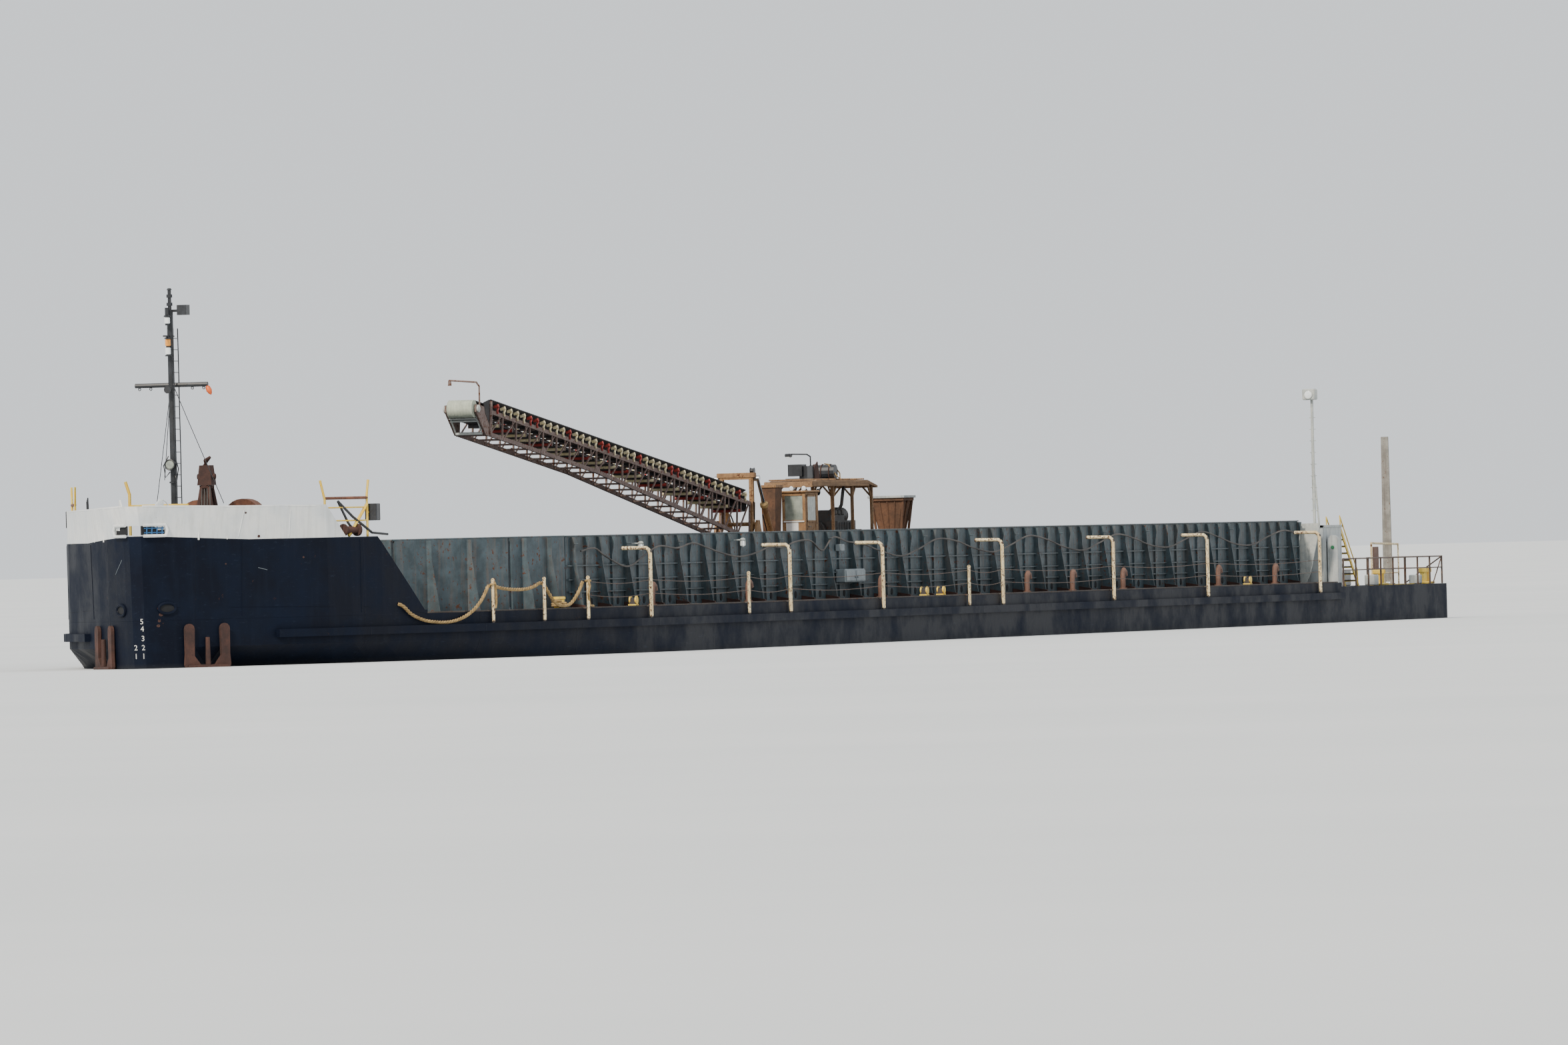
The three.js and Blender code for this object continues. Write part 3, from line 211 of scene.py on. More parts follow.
@dataclass(frozen=True)
class Finish:
    """What every finish has.

    Attributes:
        name: The material's name.
        slot: The record's material slot that it answers to; not used.
    """

    name: str
    slot: str

    def shade(self, palette: Palette) -> None:
        """Adds the nodes that feed the shader; each finish has its own."""

    def material(self) -> bpy.types.Material:
        """Returns the finish's material, made the first time it is asked for."""
        made = bpy.data.materials.get(self.name)
        if made is not None:
            return made
        made = bpy.data.materials.new(self.name)
        made.use_nodes = True
        self.shade(Palette(made.node_tree, made.node_tree.nodes["Principled BSDF"]))
        return made


@dataclass(frozen=True)
class WornPaint(Finish):
    """Alkyd paint brushed on steel plate, years in the open.

    Faded patches and runs of dirt down the sides break up the coat, and rust has come through
    in spots with a dull, rough skin.

    Attributes:
        coat: Colour of the sound paint.
        faded: Colour where sun and dust have bleached it.
        rust: Colour of the rust.
        pitted: Colour of the rust's pits.
        rusting: Share of the surface that has rusted through, from 0 to 1.
        patch: Size of a faded patch, mm.
        speck: Size of a rust spot, mm.
        runs: How strongly dirt has run down, from 0 to 1.
        grime: Colour of that dirt.
        gloss: Roughness of the sound paint.
    """

    coat: str = "#808080"
    faded: str = "#909090"
    rust: str = "#6e4229"
    pitted: str = "#3b2318"
    rusting: float = 0.12
    patch: float = 70
    speck: float = 16
    runs: float = 0.35
    grime: str = "#4a3c33"
    gloss: float = 0.5

    def shade(self, palette: Palette) -> None:
        """Lays fading, runs and rust over each other."""
        place = palette.place()
        patches = palette.noise(self.patch, 6, 0.62, place)
        drips = palette.noise(14, 4, 0.6, palette.place((1, 1, 0.07)))
        mottle = palette.noise(3.5, 3, 0.7, place)
        gather = palette.blend(patches, 0.35, palette.noise(self.speck, 8, 0.68, place))
        bare = 0.98 - 0.46 * math.sqrt(self.rusting)
        rusted = palette.ramp(gather, bare - 0.03, bare + 0.04)
        paint = palette.mix(palette.ramp(patches, 0.4, 0.62), self.coat, self.faded)
        dirty = palette.mix(palette.ramp(drips, 0.47, 0.72, high=self.runs), paint, self.grime)
        colour = palette.mix(rusted, dirty, palette.mix(mottle, self.rust, self.pitted))
        dull = palette.ramp(rusted, low=self.gloss, high=min(self.gloss + 0.35, 0.95))
        palette.apply(colour, dull, palette.blend(mottle, 0.4, rusted), 0.35, 0.0008)


@dataclass(frozen=True)
class TarredHull(Finish):
    """Bituminous hull coating rolled on welded plate: near black, with a very low sheen.

    Fenders and locks have scraped it lengthways, a dull band of silt has dried on it just above
    the waterline, weld seams cross it, and the plates bulge a little between their frames.

    Attributes:
        coat: Colour of the sound coating.
        faded: Colour where it has chalked.
        washed: Colour of the runs down the side.
        scraped: Colour of the scrapes.
        rust: Colour of the rust spots.
        silt: Colour of the dried silt.
        seam_pitch: Distance between weld seams, m.
    """

    coat: str = "#0a0f1c"
    faded: str = "#101828"
    washed: str = "#151c2a"
    scraped: str = "#232b3a"
    rust: str = "#3e2a22"
    silt: str = "#1f2127"
    seam_pitch: float = 0.3

    def shade(self, palette: Palette) -> None:
        """Lays chalking, runs, scrapes, rust and the silt band over each other."""
        place = palette.place()
        axes = add_node(palette.tree, "SeparateXYZ", {}, {0: place})
        patches = palette.noise(160, 7, 0.62, place)
        scrapes = palette.ramp(palette.noise(7, 5, 0.7, palette.place((0.09, 0.4, 1))), 0.61, 0.7, high=0.55)
        runs = palette.ramp(palette.noise(22, 5, 0.6, palette.place((1, 1, 0.1))), 0.5, 0.75, high=0.4)
        spots = palette.ramp(palette.noise(24, 9, 0.7, place), 0.66, 0.72)
        chalk = palette.ramp(patches, 0.42, 0.68)
        band = (WATERLINE + 4) / 1000
        dried = palette.ramp(axes.outputs[2], band + 0.012, band, high=0.75)
        along = add_node(
            palette.tree, "Math", {"operation": "PINGPONG", 1: self.seam_pitch}, {0: axes.outputs[0]},
        )
        seam = palette.ramp(along.outputs[0], 0.0022, 0.0008)
        colour = palette.mix(chalk, self.coat, self.faded)
        layers = ((runs, self.washed), (scrapes, self.scraped), (spots, self.rust), (dried, self.silt))
        for share, over in layers:
            colour = palette.mix(share, colour, over)
        palette.shader.inputs["Specular IOR Level"].default_value = 0.1
        dull = palette.ramp(chalk, low=0.5, high=0.75)
        palette.apply(colour, dull, palette.blend(patches, 2.5, seam), 0.45, 0.002)


@dataclass(frozen=True)
class Rusted(Finish):
    """Bare mild steel left to rust: matt dark brown scale with redder bloom in patches."""

    scale: str = "#33221e"
    bloom: str = "#4e322a"
    pitted: str = "#33241f"
    grain: float = 9

    def shade(self, palette: Palette) -> None:
        """Mixes scale and bloom and roughens both."""
        place = palette.place()
        share = palette.ramp(palette.noise(55, 7, 0.65, place), 0.38, 0.64)
        fine = palette.noise(self.grain, 8, 0.72, place)
        skin = palette.mix(share, self.scale, self.bloom)
        colour = palette.mix(palette.ramp(fine, 0.5, 0.7, high=0.7), skin, self.pitted)
        palette.apply(colour, 0.88, fine, 0.5, 0.001)


@dataclass(frozen=True)
class Smooth(Finish):
    """Even material whose colour only varies a little, such as moulded rubber, glass or steel rod.

    Attributes:
        colour: Main colour.
        second: Colour that it drifts to in patches.
        patch: Size of those patches, mm.
        roughness: The shader's roughness.
        metallic: 1 for bare metal, 0 otherwise.
        clear: Share of light that passes through, for glass.
        glow: Strength of light given off, a painted reflection of the sky on a lens.
    """

    colour: str = "#808080"
    second: str = "#707070"
    patch: float = 20
    roughness: float = 0.5
    metallic: float = 0
    clear: float = 0
    glow: float = 0

    def shade(self, palette: Palette) -> None:
        """Sets the even values and adds the drift of colour."""
        drift = palette.noise(self.patch, 5, 0.6, palette.place())
        colour = palette.mix(palette.ramp(drift, 0.35, 0.65), self.colour, self.second)
        palette.apply(colour, self.roughness, drift, 0.12, 0.0004)
        palette.shader.inputs["Metallic"].default_value = self.metallic
        palette.shader.inputs["Transmission Weight"].default_value = self.clear
        # A weak glow in the glass's own colour is a painted reflection of the sky; it is 0 for every other
        # finish.
        palette.shader.inputs["Emission Strength"].default_value = self.glow
        palette.shader.inputs["Emission Color"].default_value = linear(self.colour)


@dataclass(frozen=True)
class Boards(Finish):
    """Sawn softwood boards gone grey-brown outdoors: fine grain lengthways and dark cracks."""

    light: str = "#9a7a58"
    dark: str = "#5c4431"

    def shade(self, palette: Palette) -> None:
        """Draws the grain along X and darkens its cracks."""
        grain = palette.noise(4, 7, 0.7, palette.place((0.05, 1, 1)))
        stained = palette.blend(palette.noise(45, 4, 0.5, palette.place()), 0.6, grain)
        colour = palette.mix(palette.ramp(stained, 0.6, 1.0), self.light, self.dark)
        palette.apply(colour, 0.82, grain, 0.5, 0.0008)


HULL = TarredHull("bituminous_hull_coating", "hull_black")
BULWARK = WornPaint(
    "enamel_bulwark_white", "bulwark_white", coat="#e2e3e0", faded="#cfd4d6", rusting=0.03,
    patch=120, speck=12, runs=0.3, grime="#a3a39c", gloss=0.42,
)
BIN = WornPaint(
    "alkyd_bin_slate", "bin_grey", coat="#2f3d43", faded="#43535a", rusting=0.16,
    patch=60, speck=14, runs=0.4, grime="#6b5a4c", gloss=0.6,
)
RUST = Rusted("rusted_mild_steel", "rust_red")
BLACK = WornPaint(
    "alkyd_mast_black", "mast_black", coat="#17191d", faded="#292c31", rusting=0.05,
    patch=40, speck=8, runs=0.15, grime="#4a4640", gloss=0.4,
)
YELLOW = WornPaint(
    "alkyd_deck_yellow", "deck_yellow", coat="#e3b93a", faded="#d9c15c", rusting=0.1,
    patch=30, speck=7, runs=0.3, grime="#7b6a3c", gloss=0.5,
)
SIDE_DECK = WornPaint(
    "oxide_primer_deck", "side_deck_brown", coat="#3f3b39", faded="#514b47", rusting=0.2,
    patch=70, speck=14, runs=0.3, grime="#3a302a", gloss=0.8,
)
HOUSE = WornPaint(
    "alkyd_house_grey", "house_grey", coat="#9aa1a4", faded="#b3b7b4", rusting=0.07,
    patch=60, speck=9, runs=0.45, grime="#5c5a55", gloss=0.55,
)
GALVANISED = WornPaint(
    "hot_dip_zinc", "galvanised", coat="#b9bcb6", faded="#a2a8a6", rusting=0.06,
    patch=24, speck=7, runs=0.3, grime="#6d6558", gloss=0.5,
)
RAIL = WornPaint(
    "alkyd_rail_dark", "rail_black", coat="#3a322e", faded="#57483f", rusting=0.25,
    patch=25, speck=7, runs=0.3, grime="#6b4a36", gloss=0.6,
)
MAST_BROWN = WornPaint(
    "peeling_mast_white", "mast_brown", coat="#76736c", faded="#908d85", rusting=0.12,
    patch=35, speck=9, runs=0.5, grime="#5d5047", gloss=0.7,
)
CREAM = WornPaint(
    "alkyd_gantry_cream", "gantry_cream", coat="#cdb68a", faded="#e2d5ae", rusting=0.26,
    patch=30, speck=7, runs=0.35, grime="#7b5f42", gloss=0.55,
)
OCHRE = WornPaint(
    "alkyd_conveyor_ochre", "conveyor_ochre", coat="#82603e", faded="#9c7950", rusting=0.22,
    patch=40, speck=9, runs=0.4, grime="#5d4230", gloss=0.65,
)
BOOM = WornPaint(
    "oxide_boom_brown", "boom_brown", coat="#6b5750", faded="#7f6d66", rusting=0.25,
    patch=45, speck=9, runs=0.3, grime="#3f332e", gloss=0.7,
)
BELT = Smooth(
    "moulded_belt_rubber", "belt_rubber", colour="#26262a", second="#3d3a38", patch=60, roughness=0.85
)
LAGGING = Smooth(
    "rubber_drum_lagging", "drum_lagging", colour="#b4baa8", second="#9da394", patch=30, roughness=0.8
)
IDLER = WornPaint(
    "alkyd_idler_cream", "idler_cream", coat="#e0d0a0", faded="#ece0bd", rusting=0.12,
    patch=20, speck=5, runs=0.2, grime="#7b5f42", gloss=0.5,
)
ROD = Smooth(
    "chromed_rod_steel", "rod_steel", colour="#c8ccd0", second="#b4b8bc", patch=30, roughness=0.25,
    metallic=1,
)
CANOPY = Boards("weathered_canopy_boards", "canopy_timber")
ENGINE = WornPaint(
    "engine_soot_black", "engine_black", coat="#26282a", faded="#3a3a39", rusting=0.15,
    patch=35, speck=8, runs=0.3, grime="#5a4636", gloss=0.55,
)
HOPPER = Rusted("rusted_hopper_plate", "hopper_rust", scale="#4c382a", bloom="#6a4b36")
WINCH = Rusted("rusted_winch_plate", "rust_red", scale="#5c3c30", bloom="#7d523e")
MANILA = Smooth("laid_manila", "manila_rope", colour="#a98d5f", second="#7d6742", patch=14, roughness=0.95)
CABLE_SHEATH = Smooth(
    "neoprene_cable_sheath", "cable_rubber", colour="#55504c", second="#2f2c2b", patch=90, roughness=0.7,
)

# The lamp glass glows weakly: a painted reflection of the sky.
GLASS = Smooth(
    "lamp_glass", "galvanised", colour="#e8ecec", second="#d6dcde", patch=20, roughness=0.08, glow=0.15,
)
# The amber glass glows weakly: a painted reflection of the sky.
AMBER = Smooth(
    "amber_lamp_glass", "deck_yellow", colour="#e09a3c", second="#cc7f2a", patch=12, roughness=0.15, glow=0.2
)
ORANGE = Smooth(
    "vinyl_fender_orange", "deck_yellow", colour="#d8642c", second="#c2531f", patch=12, roughness=0.5,
)
BLUE = Smooth(
    "painted_ladder_blue", "bulwark_white", colour="#2f5f8c", second="#27507a", patch=30, roughness=0.5,
)
WHITE = Smooth(
    "signwriting_white", "bulwark_white", colour="#dcdcd4", second="#b9bab4", patch=9, roughness=0.6,
)
PANE = Smooth(
    "toughened_cab_glass", "galvanised", colour="#c3cabd", second="#8d968d", patch=45, roughness=0.12,
    clear=0.35,
)
VENT = WornPaint(
    "oxide_vent_pink", "side_deck_brown", coat="#5f453a", faded="#75574a", rusting=0.15,
    patch=30, speck=7, runs=0.3, grime="#4d382e", gloss=0.7,
)
CABINET = WornPaint(
    "alkyd_cabinet_grey", "house_grey", coat="#6f7a80", faded="#838d91", rusting=0.08,
    patch=40, speck=7, runs=0.3, grime="#4b4a47", gloss=0.5,
)
IDLER_RED = Smooth(
    "enamel_idler_red", "deck_yellow", colour="#b0413a", second="#8c322c", patch=14, roughness=0.5,
)
GREEN = Smooth(
    "enamel_sign_green", "house_grey", colour="#2f7d52", second="#276a45", patch=10, roughness=0.5,
)
# Painted shade: a near-black finish laid as thin plates and discs in openings and pipe mouths, where only
# shade is seen.
INSIDE_SHADE = Smooth(
    "painted_inside_shade", "hull_black", colour="#0e1013", second="#16181c", patch=30, roughness=0.9,
)


class Bench:
    """Makes meshes with Blender's own operators, always from a clear selection. Sizes are in mm."""

    @staticmethod
    def clear() -> None:
        """Leaves edit mode and deselects everything."""
        if bpy.context.object and bpy.context.object.mode != "OBJECT":
            bpy.ops.object.mode_set(mode="OBJECT")
        bpy.ops.object.select_all(action="DESELECT")

    @staticmethod
    def take(*pieces: bpy.types.Object) -> bpy.types.Object:
        """Selects these pieces alone and makes the first the active one."""
        Bench.clear()
        for piece in pieces:
            piece.select_set(True)
        bpy.context.view_layer.objects.active = pieces[0]
        return pieces[0]

    @staticmethod
    def settle(piece: bpy.types.Object) -> bpy.types.Object:
        """Puts a piece's place, turn and size into its mesh."""
        Bench.take(piece)
        bpy.ops.object.transform_apply(location=True, rotation=True, scale=True)
        return piece

    @staticmethod
    def modify(piece: bpy.types.Object, kind: str, **settings: object) -> bpy.types.Object:
        """Adds a modifier and applies it.

        Args:
            piece: The piece to change.
            kind: The modifier's type, such as "BEVEL".
            settings: Its properties.

        Returns:
            The piece.
        """
        Bench.take(piece)
        modifier = piece.modifiers.new(kind.title(), kind)
        for name, value in settings.items():
            setattr(modifier, name, value)
        bpy.ops.object.modifier_apply(modifier=modifier.name)
        return piece

    @staticmethod
    def block(low: Place, high: Place, bevel: float = 0) -> bpy.types.Object:
        """Block between two corners, its edges cut by a bevel.

        Args:
            low: One corner.
            high: The opposite corner.
            bevel: Width of the cut, or 0 for none.

        Returns:
            The block.
        """
        a, b = spot(*low), spot(*high)
        Bench.clear()
        bpy.ops.mesh.primitive_cube_add(size=1, location=(a + b) / 2)
        piece = bpy.context.object
        piece.scale = [abs(side) for side in b - a]
        Bench.settle(piece)
        if bevel:
            Bench.modify(piece, "BEVEL", width=bevel / 1000, segments=1, limit_method="NONE")
        return piece

    @staticmethod
    def rod(
        start: Place, end: Place, radius: float, sides: int = 8, end_radius: float | None = None,
    ) -> bpy.types.Object:
        """Round bar between two points, tapered where the end radius differs.

        Args:
            start: Centre of the first end.
            end: Centre of the other end.
            radius: Radius at the start.
            sides: Number of sides.
            end_radius: Radius at the end.

        Returns:
            The bar.
        """
        a, b = spot(*start), spot(*end)
        Bench.clear()
        bpy.ops.mesh.primitive_cone_add(
            vertices=sides, radius1=radius / 1000,
            radius2=(radius if end_radius is None else end_radius) / 1000, depth=(b - a).length,
            location=(a + b) / 2, rotation=(b - a).to_track_quat("Z", "Y").to_euler(),
        )
        return Bench.settle(bpy.context.object)

    @staticmethod
    def turned(
        profile: list[tuple[float, float]], start: Place, end: Place, sides: int = 16,
    ) -> bpy.types.Object:
        """Body of revolution: a disc is extruded and resized once for each step of the profile.

        Args:
            profile: Distance from the start and radius of each step.
            start: Where the axis begins.
            end: Any point that the axis points towards.
            sides: Number of sides.

        Returns:
            The body.
        """
        a, b = spot(*start), spot(*end)
        Bench.clear()
        along, radius = profile[0]
        bpy.ops.mesh.primitive_circle_add(
            vertices=sides, radius=radius / 1000, fill_type="NGON", location=(0, 0, 0)
        )
        piece = bpy.context.object
        piece.data.transform(Matrix.Translation((0, 0, along / 1000)))
        bpy.ops.object.mode_set(mode="EDIT")
        bpy.ops.mesh.select_all(action="SELECT")
        for next_along, next_radius in profile[1:]:
            rise = (next_along - along) / 1000
            bpy.ops.mesh.extrude_region_move(TRANSFORM_OT_translate={"value": (0, 0, rise)})
            bpy.ops.transform.resize(
                value=(next_radius / radius, next_radius / radius, 1),
                center_override=(0, 0, next_along / 1000),
            )
            along, radius = next_along, next_radius
        bpy.ops.mesh.select_all(action="SELECT")
        bpy.ops.mesh.normals_make_consistent(inside=False)
        bpy.ops.object.mode_set(mode="OBJECT")
        piece.matrix_world = Matrix.Translation(a) @ (b - a).to_track_quat("Z", "Y").to_matrix().to_4x4()
        return Bench.settle(piece)

    @staticmethod
    def plate(outline: list[Place], push: Place, bevel: float = 0) -> bpy.types.Object:
        """Flat outline extruded to a plate.

        Args:
            outline: Corners in order, all in one plane.
            push: Direction and thickness of the extrusion.
            bevel: Width of the cut along its edges, or 0 for none.

        Returns:
            The plate.
        """
        Bench.clear()
        bpy.ops.mesh.primitive_circle_add(vertices=len(outline), radius=1, fill_type="NGON")
        piece = bpy.context.object
        for vertex, corner in zip(piece.data.vertices, outline):
            vertex.co = spot(*corner)
        piece.matrix_world = Matrix.Identity(4)
        bpy.ops.object.mode_set(mode="EDIT")
        bpy.ops.mesh.select_all(action="SELECT")
        bpy.ops.mesh.extrude_region_move(TRANSFORM_OT_translate={"value": [step / 1000 for step in push]})
        bpy.ops.mesh.select_all(action="SELECT")
        bpy.ops.mesh.normals_make_consistent(inside=False)
        bpy.ops.object.mode_set(mode="OBJECT")
        if bevel:
            Bench.modify(piece, "BEVEL", width=bevel / 1000, segments=1, limit_method="ANGLE")
        return piece

    @staticmethod
    def tube(points: list[Vector] | list[Place], radius: float, sides: int = 8) -> bpy.types.Object:
        """Round tube along a line of points.

        Args:
            points: Places in mm, or vectors in metres.
            radius: The tube's radius.
            sides: An even number of sides, from 4.

        Returns:
            The tube, as a mesh.
        """
        places = [point if isinstance(point, Vector) else spot(*point) for point in points]
        curve = bpy.data.curves.new("tube", "CURVE")
        curve.dimensions = "3D"
        curve.bevel_depth = radius / 1000
        curve.bevel_resolution = (sides - 4) // 2
        curve.use_fill_caps = True
        spline = curve.splines.new("POLY")
        spline.points.add(len(places) - 1)
        for point, place in zip(spline.points, places):
            point.co = (*place, 1)
        piece = bpy.data.objects.new("tube", curve)
        bpy.context.collection.objects.link(piece)
        Bench.take(piece)
        bpy.ops.object.convert(target="MESH")
        return bpy.context.object

    @staticmethod
    def ring(
        centre: Place, towards: Place, radius: float, thickness: float, sides: int = 20,
    ) -> bpy.types.Object:
        """Round ring about an axis.

        Args:
            centre: The ring's middle.
            towards: Direction of the axis.
            radius: From the middle to the bar's centre.
            thickness: The bar's radius.
            sides: Number of steps round the ring.

        Returns:
            The ring.
        """
        Bench.clear()
        bpy.ops.mesh.primitive_torus_add(
            major_radius=radius / 1000, minor_radius=thickness / 1000, major_segments=sides,
            minor_segments=8, location=spot(*centre),
            rotation=Vector(towards).to_track_quat("Z", "Y").to_euler(),
        )
        return Bench.settle(bpy.context.object)

    @staticmethod
    def copies(piece: bpy.types.Object, moves: list[Place]) -> list[bpy.types.Object]:
        """The piece and a copy of it, with a mesh of its own, at each move from its place.

        Args:
            piece: The finished first one.
            moves: Distances aft, to starboard and up.

        Returns:
            The piece and its copies.
        """
        made = [piece]
        for move in moves:
            copy = piece.copy()
            copy.data = piece.data.copy()
            copy.data.transform(Matrix.Translation([step / 1000 for step in move]))
            bpy.context.collection.objects.link(copy)
            made.append(copy)
        return made

    @staticmethod
    def mirrored(pieces: list[bpy.types.Object]) -> list[bpy.types.Object]:
        """Copies of the pieces on the other side of the centre line, their faces outwards."""
        made = []
        for piece in pieces:
            copy = piece.copy()
            copy.data = piece.data.copy()
            copy.data.transform(Matrix.Scale(-1, 4, (0, 1, 0)))
            copy.data.flip_normals()
            bpy.context.collection.objects.link(copy)
            made.append(copy)
        return made

    @staticmethod
    def fuse(
        name: str, pieces: list[bpy.types.Object], finish: Finish, body: Body = Body.BARGE,
        replaces: tuple[str, ...] = (),
    ) -> bpy.types.Object:
        """Joins pieces to one finished piece that rides on a body.

        Args:
            name: The piece's name.
            pieces: What it is made of.
            finish: Its finish.
            body: The body that it moves with.
            replaces: CAD nodes that it stands for.

        Returns:
            The joined piece.
        """
        Bench.take(*pieces)
        if len(pieces) > 1:
            bpy.ops.object.join()
        made = bpy.context.object
        bpy.ops.object.shade_smooth_by_angle(angle=math.radians(35))
        made.name = name
        made.data.name = name
        made.data.materials.clear()
        made.data.materials.append(finish.material())
        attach(made, body.value)
        if replaces:
            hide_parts(*replaces)
        log.info("%s: %d faces in %s", name, len(made.data.polygons), finish.name)
        return made


def steps(first: float, last: float, pitch: float) -> list[float]:
    """Distances from the first to no further than the last."""
    return [first + pitch * i for i in range(int((last - first) / pitch + 1e-6) + 1)]


def smooth_line(points: list[Place], count: int) -> list[Vector]:
    """Evenly spaced places on a centripetal curve through points, as the part's source spaces its ropes.

    Args:
        points: The points, in mm.
        count: Number of equal steps.

    Returns:
        The places, in metres.
    """
    knots = [spot(*point) for point in points]
    knots = [2 * knots[0] - knots[1], *knots, 2 * knots[-1] - knots[-2]]
    fine = []
    for p0, p1, p2, p3 in zip(knots, knots[1:], knots[2:], knots[3:]):
        gaps = [max((b - a).length ** 0.5, 1e-4) for a, b in ((p0, p1), (p1, p2), (p2, p3))]
        leave = ((p1 - p0) / gaps[0] - (p2 - p0) / (gaps[0] + gaps[1]) + (p2 - p1) / gaps[1]) * gaps[1]
        enter = ((p2 - p1) / gaps[1] - (p3 - p1) / (gaps[1] + gaps[2]) + (p3 - p2) / gaps[2]) * gaps[1]
        for i in range(20):
            t = i / 20
            fine.append(
                p1 * (2 * t**3 - 3 * t**2 + 1) + leave * (t**3 - 2 * t**2 + t)
                + p2 * (3 * t**2 - 2 * t**3) + enter * (t**3 - t**2)
            )
    fine.append(knots[-2])
    reached = [0.0]
    for a, b in zip(fine, fine[1:]):
        reached.append(reached[-1] + (b - a).length)
    places, at = [], 0
    for i in range(count + 1):
        wanted = reached[-1] * i / count
        while at < len(fine) - 2 and reached[at + 1] < wanted:
            at += 1
        share = (wanted - reached[at]) / max(reached[at + 1] - reached[at], 1e-9)
        places.append(fine[at].lerp(fine[at + 1], min(share, 1)))
    return places


def run_length(line: list[Vector]) -> float:
    """Length of a line of places, in metres."""
    return sum((b - a).length for a, b in zip(line, line[1:]))


def extent(node: str) -> tuple[Place, Place]:
    """Low and high corners of a CAD node, as distances aft, to starboard and up in mm."""
    low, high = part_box(node)
    shift = LENGTH / 2 - STEM_OVERHANG
    return (
        (low[0] * 1000 + shift, low[1] * 1000, low[2] * 1000),
        (high[0] * 1000 + shift, high[1] * 1000, high[2] * 1000),
    )


@dataclass(frozen=True)
class Skin:
    """Outer face of some CAD nodes, found by sending a ray at them from outside.

    Attributes:
        nodes: Names of the nodes.
        side: Side that the ray comes from.
    """

    nodes: tuple[str, ...]
    side: Side = Side.PORT

    def hit(self, aft: float, up: float) -> tuple[Vector, Vector]:
        """Nearest place on the skin at a distance aft and a height, with the direction out of it.

        A ray that slips through the gap between two nodes, or past the stem, is tried again beside it.

        Args:
            aft: Distance back from the stem, mm.
            up: Height above the flat bottom, mm.

        Returns:
            The place and the outward direction.
        """
        towards = Vector((0, -self.side.value, 0))
        found = []
        for reach in range(0, 60, 2):
            tries = ((0, -reach), (reach, 0), (0, reach), (-reach, 0))
            start = spot(
                aft + tries[reach // 2 % 4][0], self.side.value * 2000, up + tries[reach // 2 % 4][1],
            )
            for name in self.nodes:
                struck, place, normal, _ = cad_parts[name].ray_cast(start, towards)
                if struck:
                    found.append(((place - start).length, place, normal))
            if found:
                break
        _, place, normal = min(found, key=lambda near: near[0])
        return place, normal

    def point(self, aft: float, up: float, out: float = 0) -> Vector:
        """Place at a distance out of the skin, in metres."""
        place, normal = self.hit(aft, up)
        return place + normal * out / 1000

    def line(
        self, start: tuple[float, float], end: tuple[float, float], out: float, count: int = 6,
    ) -> list[Vector]:
        """Places along a straight line drawn on the skin, "out" mm from it."""
        spans = [i / count for i in range(count + 1)]
        return [
            self.point(start[0] + (end[0] - start[0]) * t, start[1] + (end[1] - start[1]) * t, out)
            for t in spans
        ]

    def oval(self, centre: tuple[float, float], width: float, height: float, out: float) -> list[Vector]:
        """Places round an oval drawn on the skin; the last one closes it."""
        turns = [2 * math.pi * i / 20 for i in range(21)]
        return [
            self.point(centre[0] + width / 2 * math.cos(turn), centre[1] + height / 2 * math.sin(turn), out)
            for turn in turns
        ]

    def ahead(self, across: float, up: float) -> tuple[Vector, Vector]:
        """Nearest place on the skin to a ray from ahead, with the direction out of it.

        Args:
            across: Distance to starboard of the centre line, mm.
            up: Height above the flat bottom, mm.

        Returns:
            The place and the outward direction.
        """
        start = spot(-1000, across, up)
        found = []
        for name in self.nodes:
            struck, place, normal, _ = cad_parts[name].ray_cast(start, Vector((1, 0, 0)))
            if struck:
                found.append(((place - start).length, place, normal))
        _, place, normal = min(found, key=lambda near: near[0])
        return place, normal

    def writing(self, words: str, across: float, up: float, tall: float) -> bpy.types.Object:
        """Raised characters that lie on the skin's front and read from ahead.

        Args:
            words: The characters.
            across: Distance to starboard of their middle, mm.
            up: Height of their middle, mm.
            tall: Height of a character, mm.

        Returns:
            The characters as a mesh.
        """
        place, out = self.ahead(across, up)
        Bench.clear()
        bpy.ops.object.text_add()
        piece = bpy.context.object
        piece.data.body = words
        piece.data.size = tall * 1.4 / 1000
        piece.data.extrude = 0.0006
        piece.data.align_x = "CENTER"
        piece.data.align_y = "CENTER"
        Bench.take(piece)
        bpy.ops.object.convert(target="MESH")
        piece = bpy.context.object
        upward = (Vector((0, 0, 1)) - out * out.z).normalized()
        across = upward.cross(out)
        turn = Matrix((across, upward, out)).transposed().to_4x4()
        piece.matrix_world = Matrix.Translation(place + out * 0.0002) @ turn
        return Bench.settle(piece)


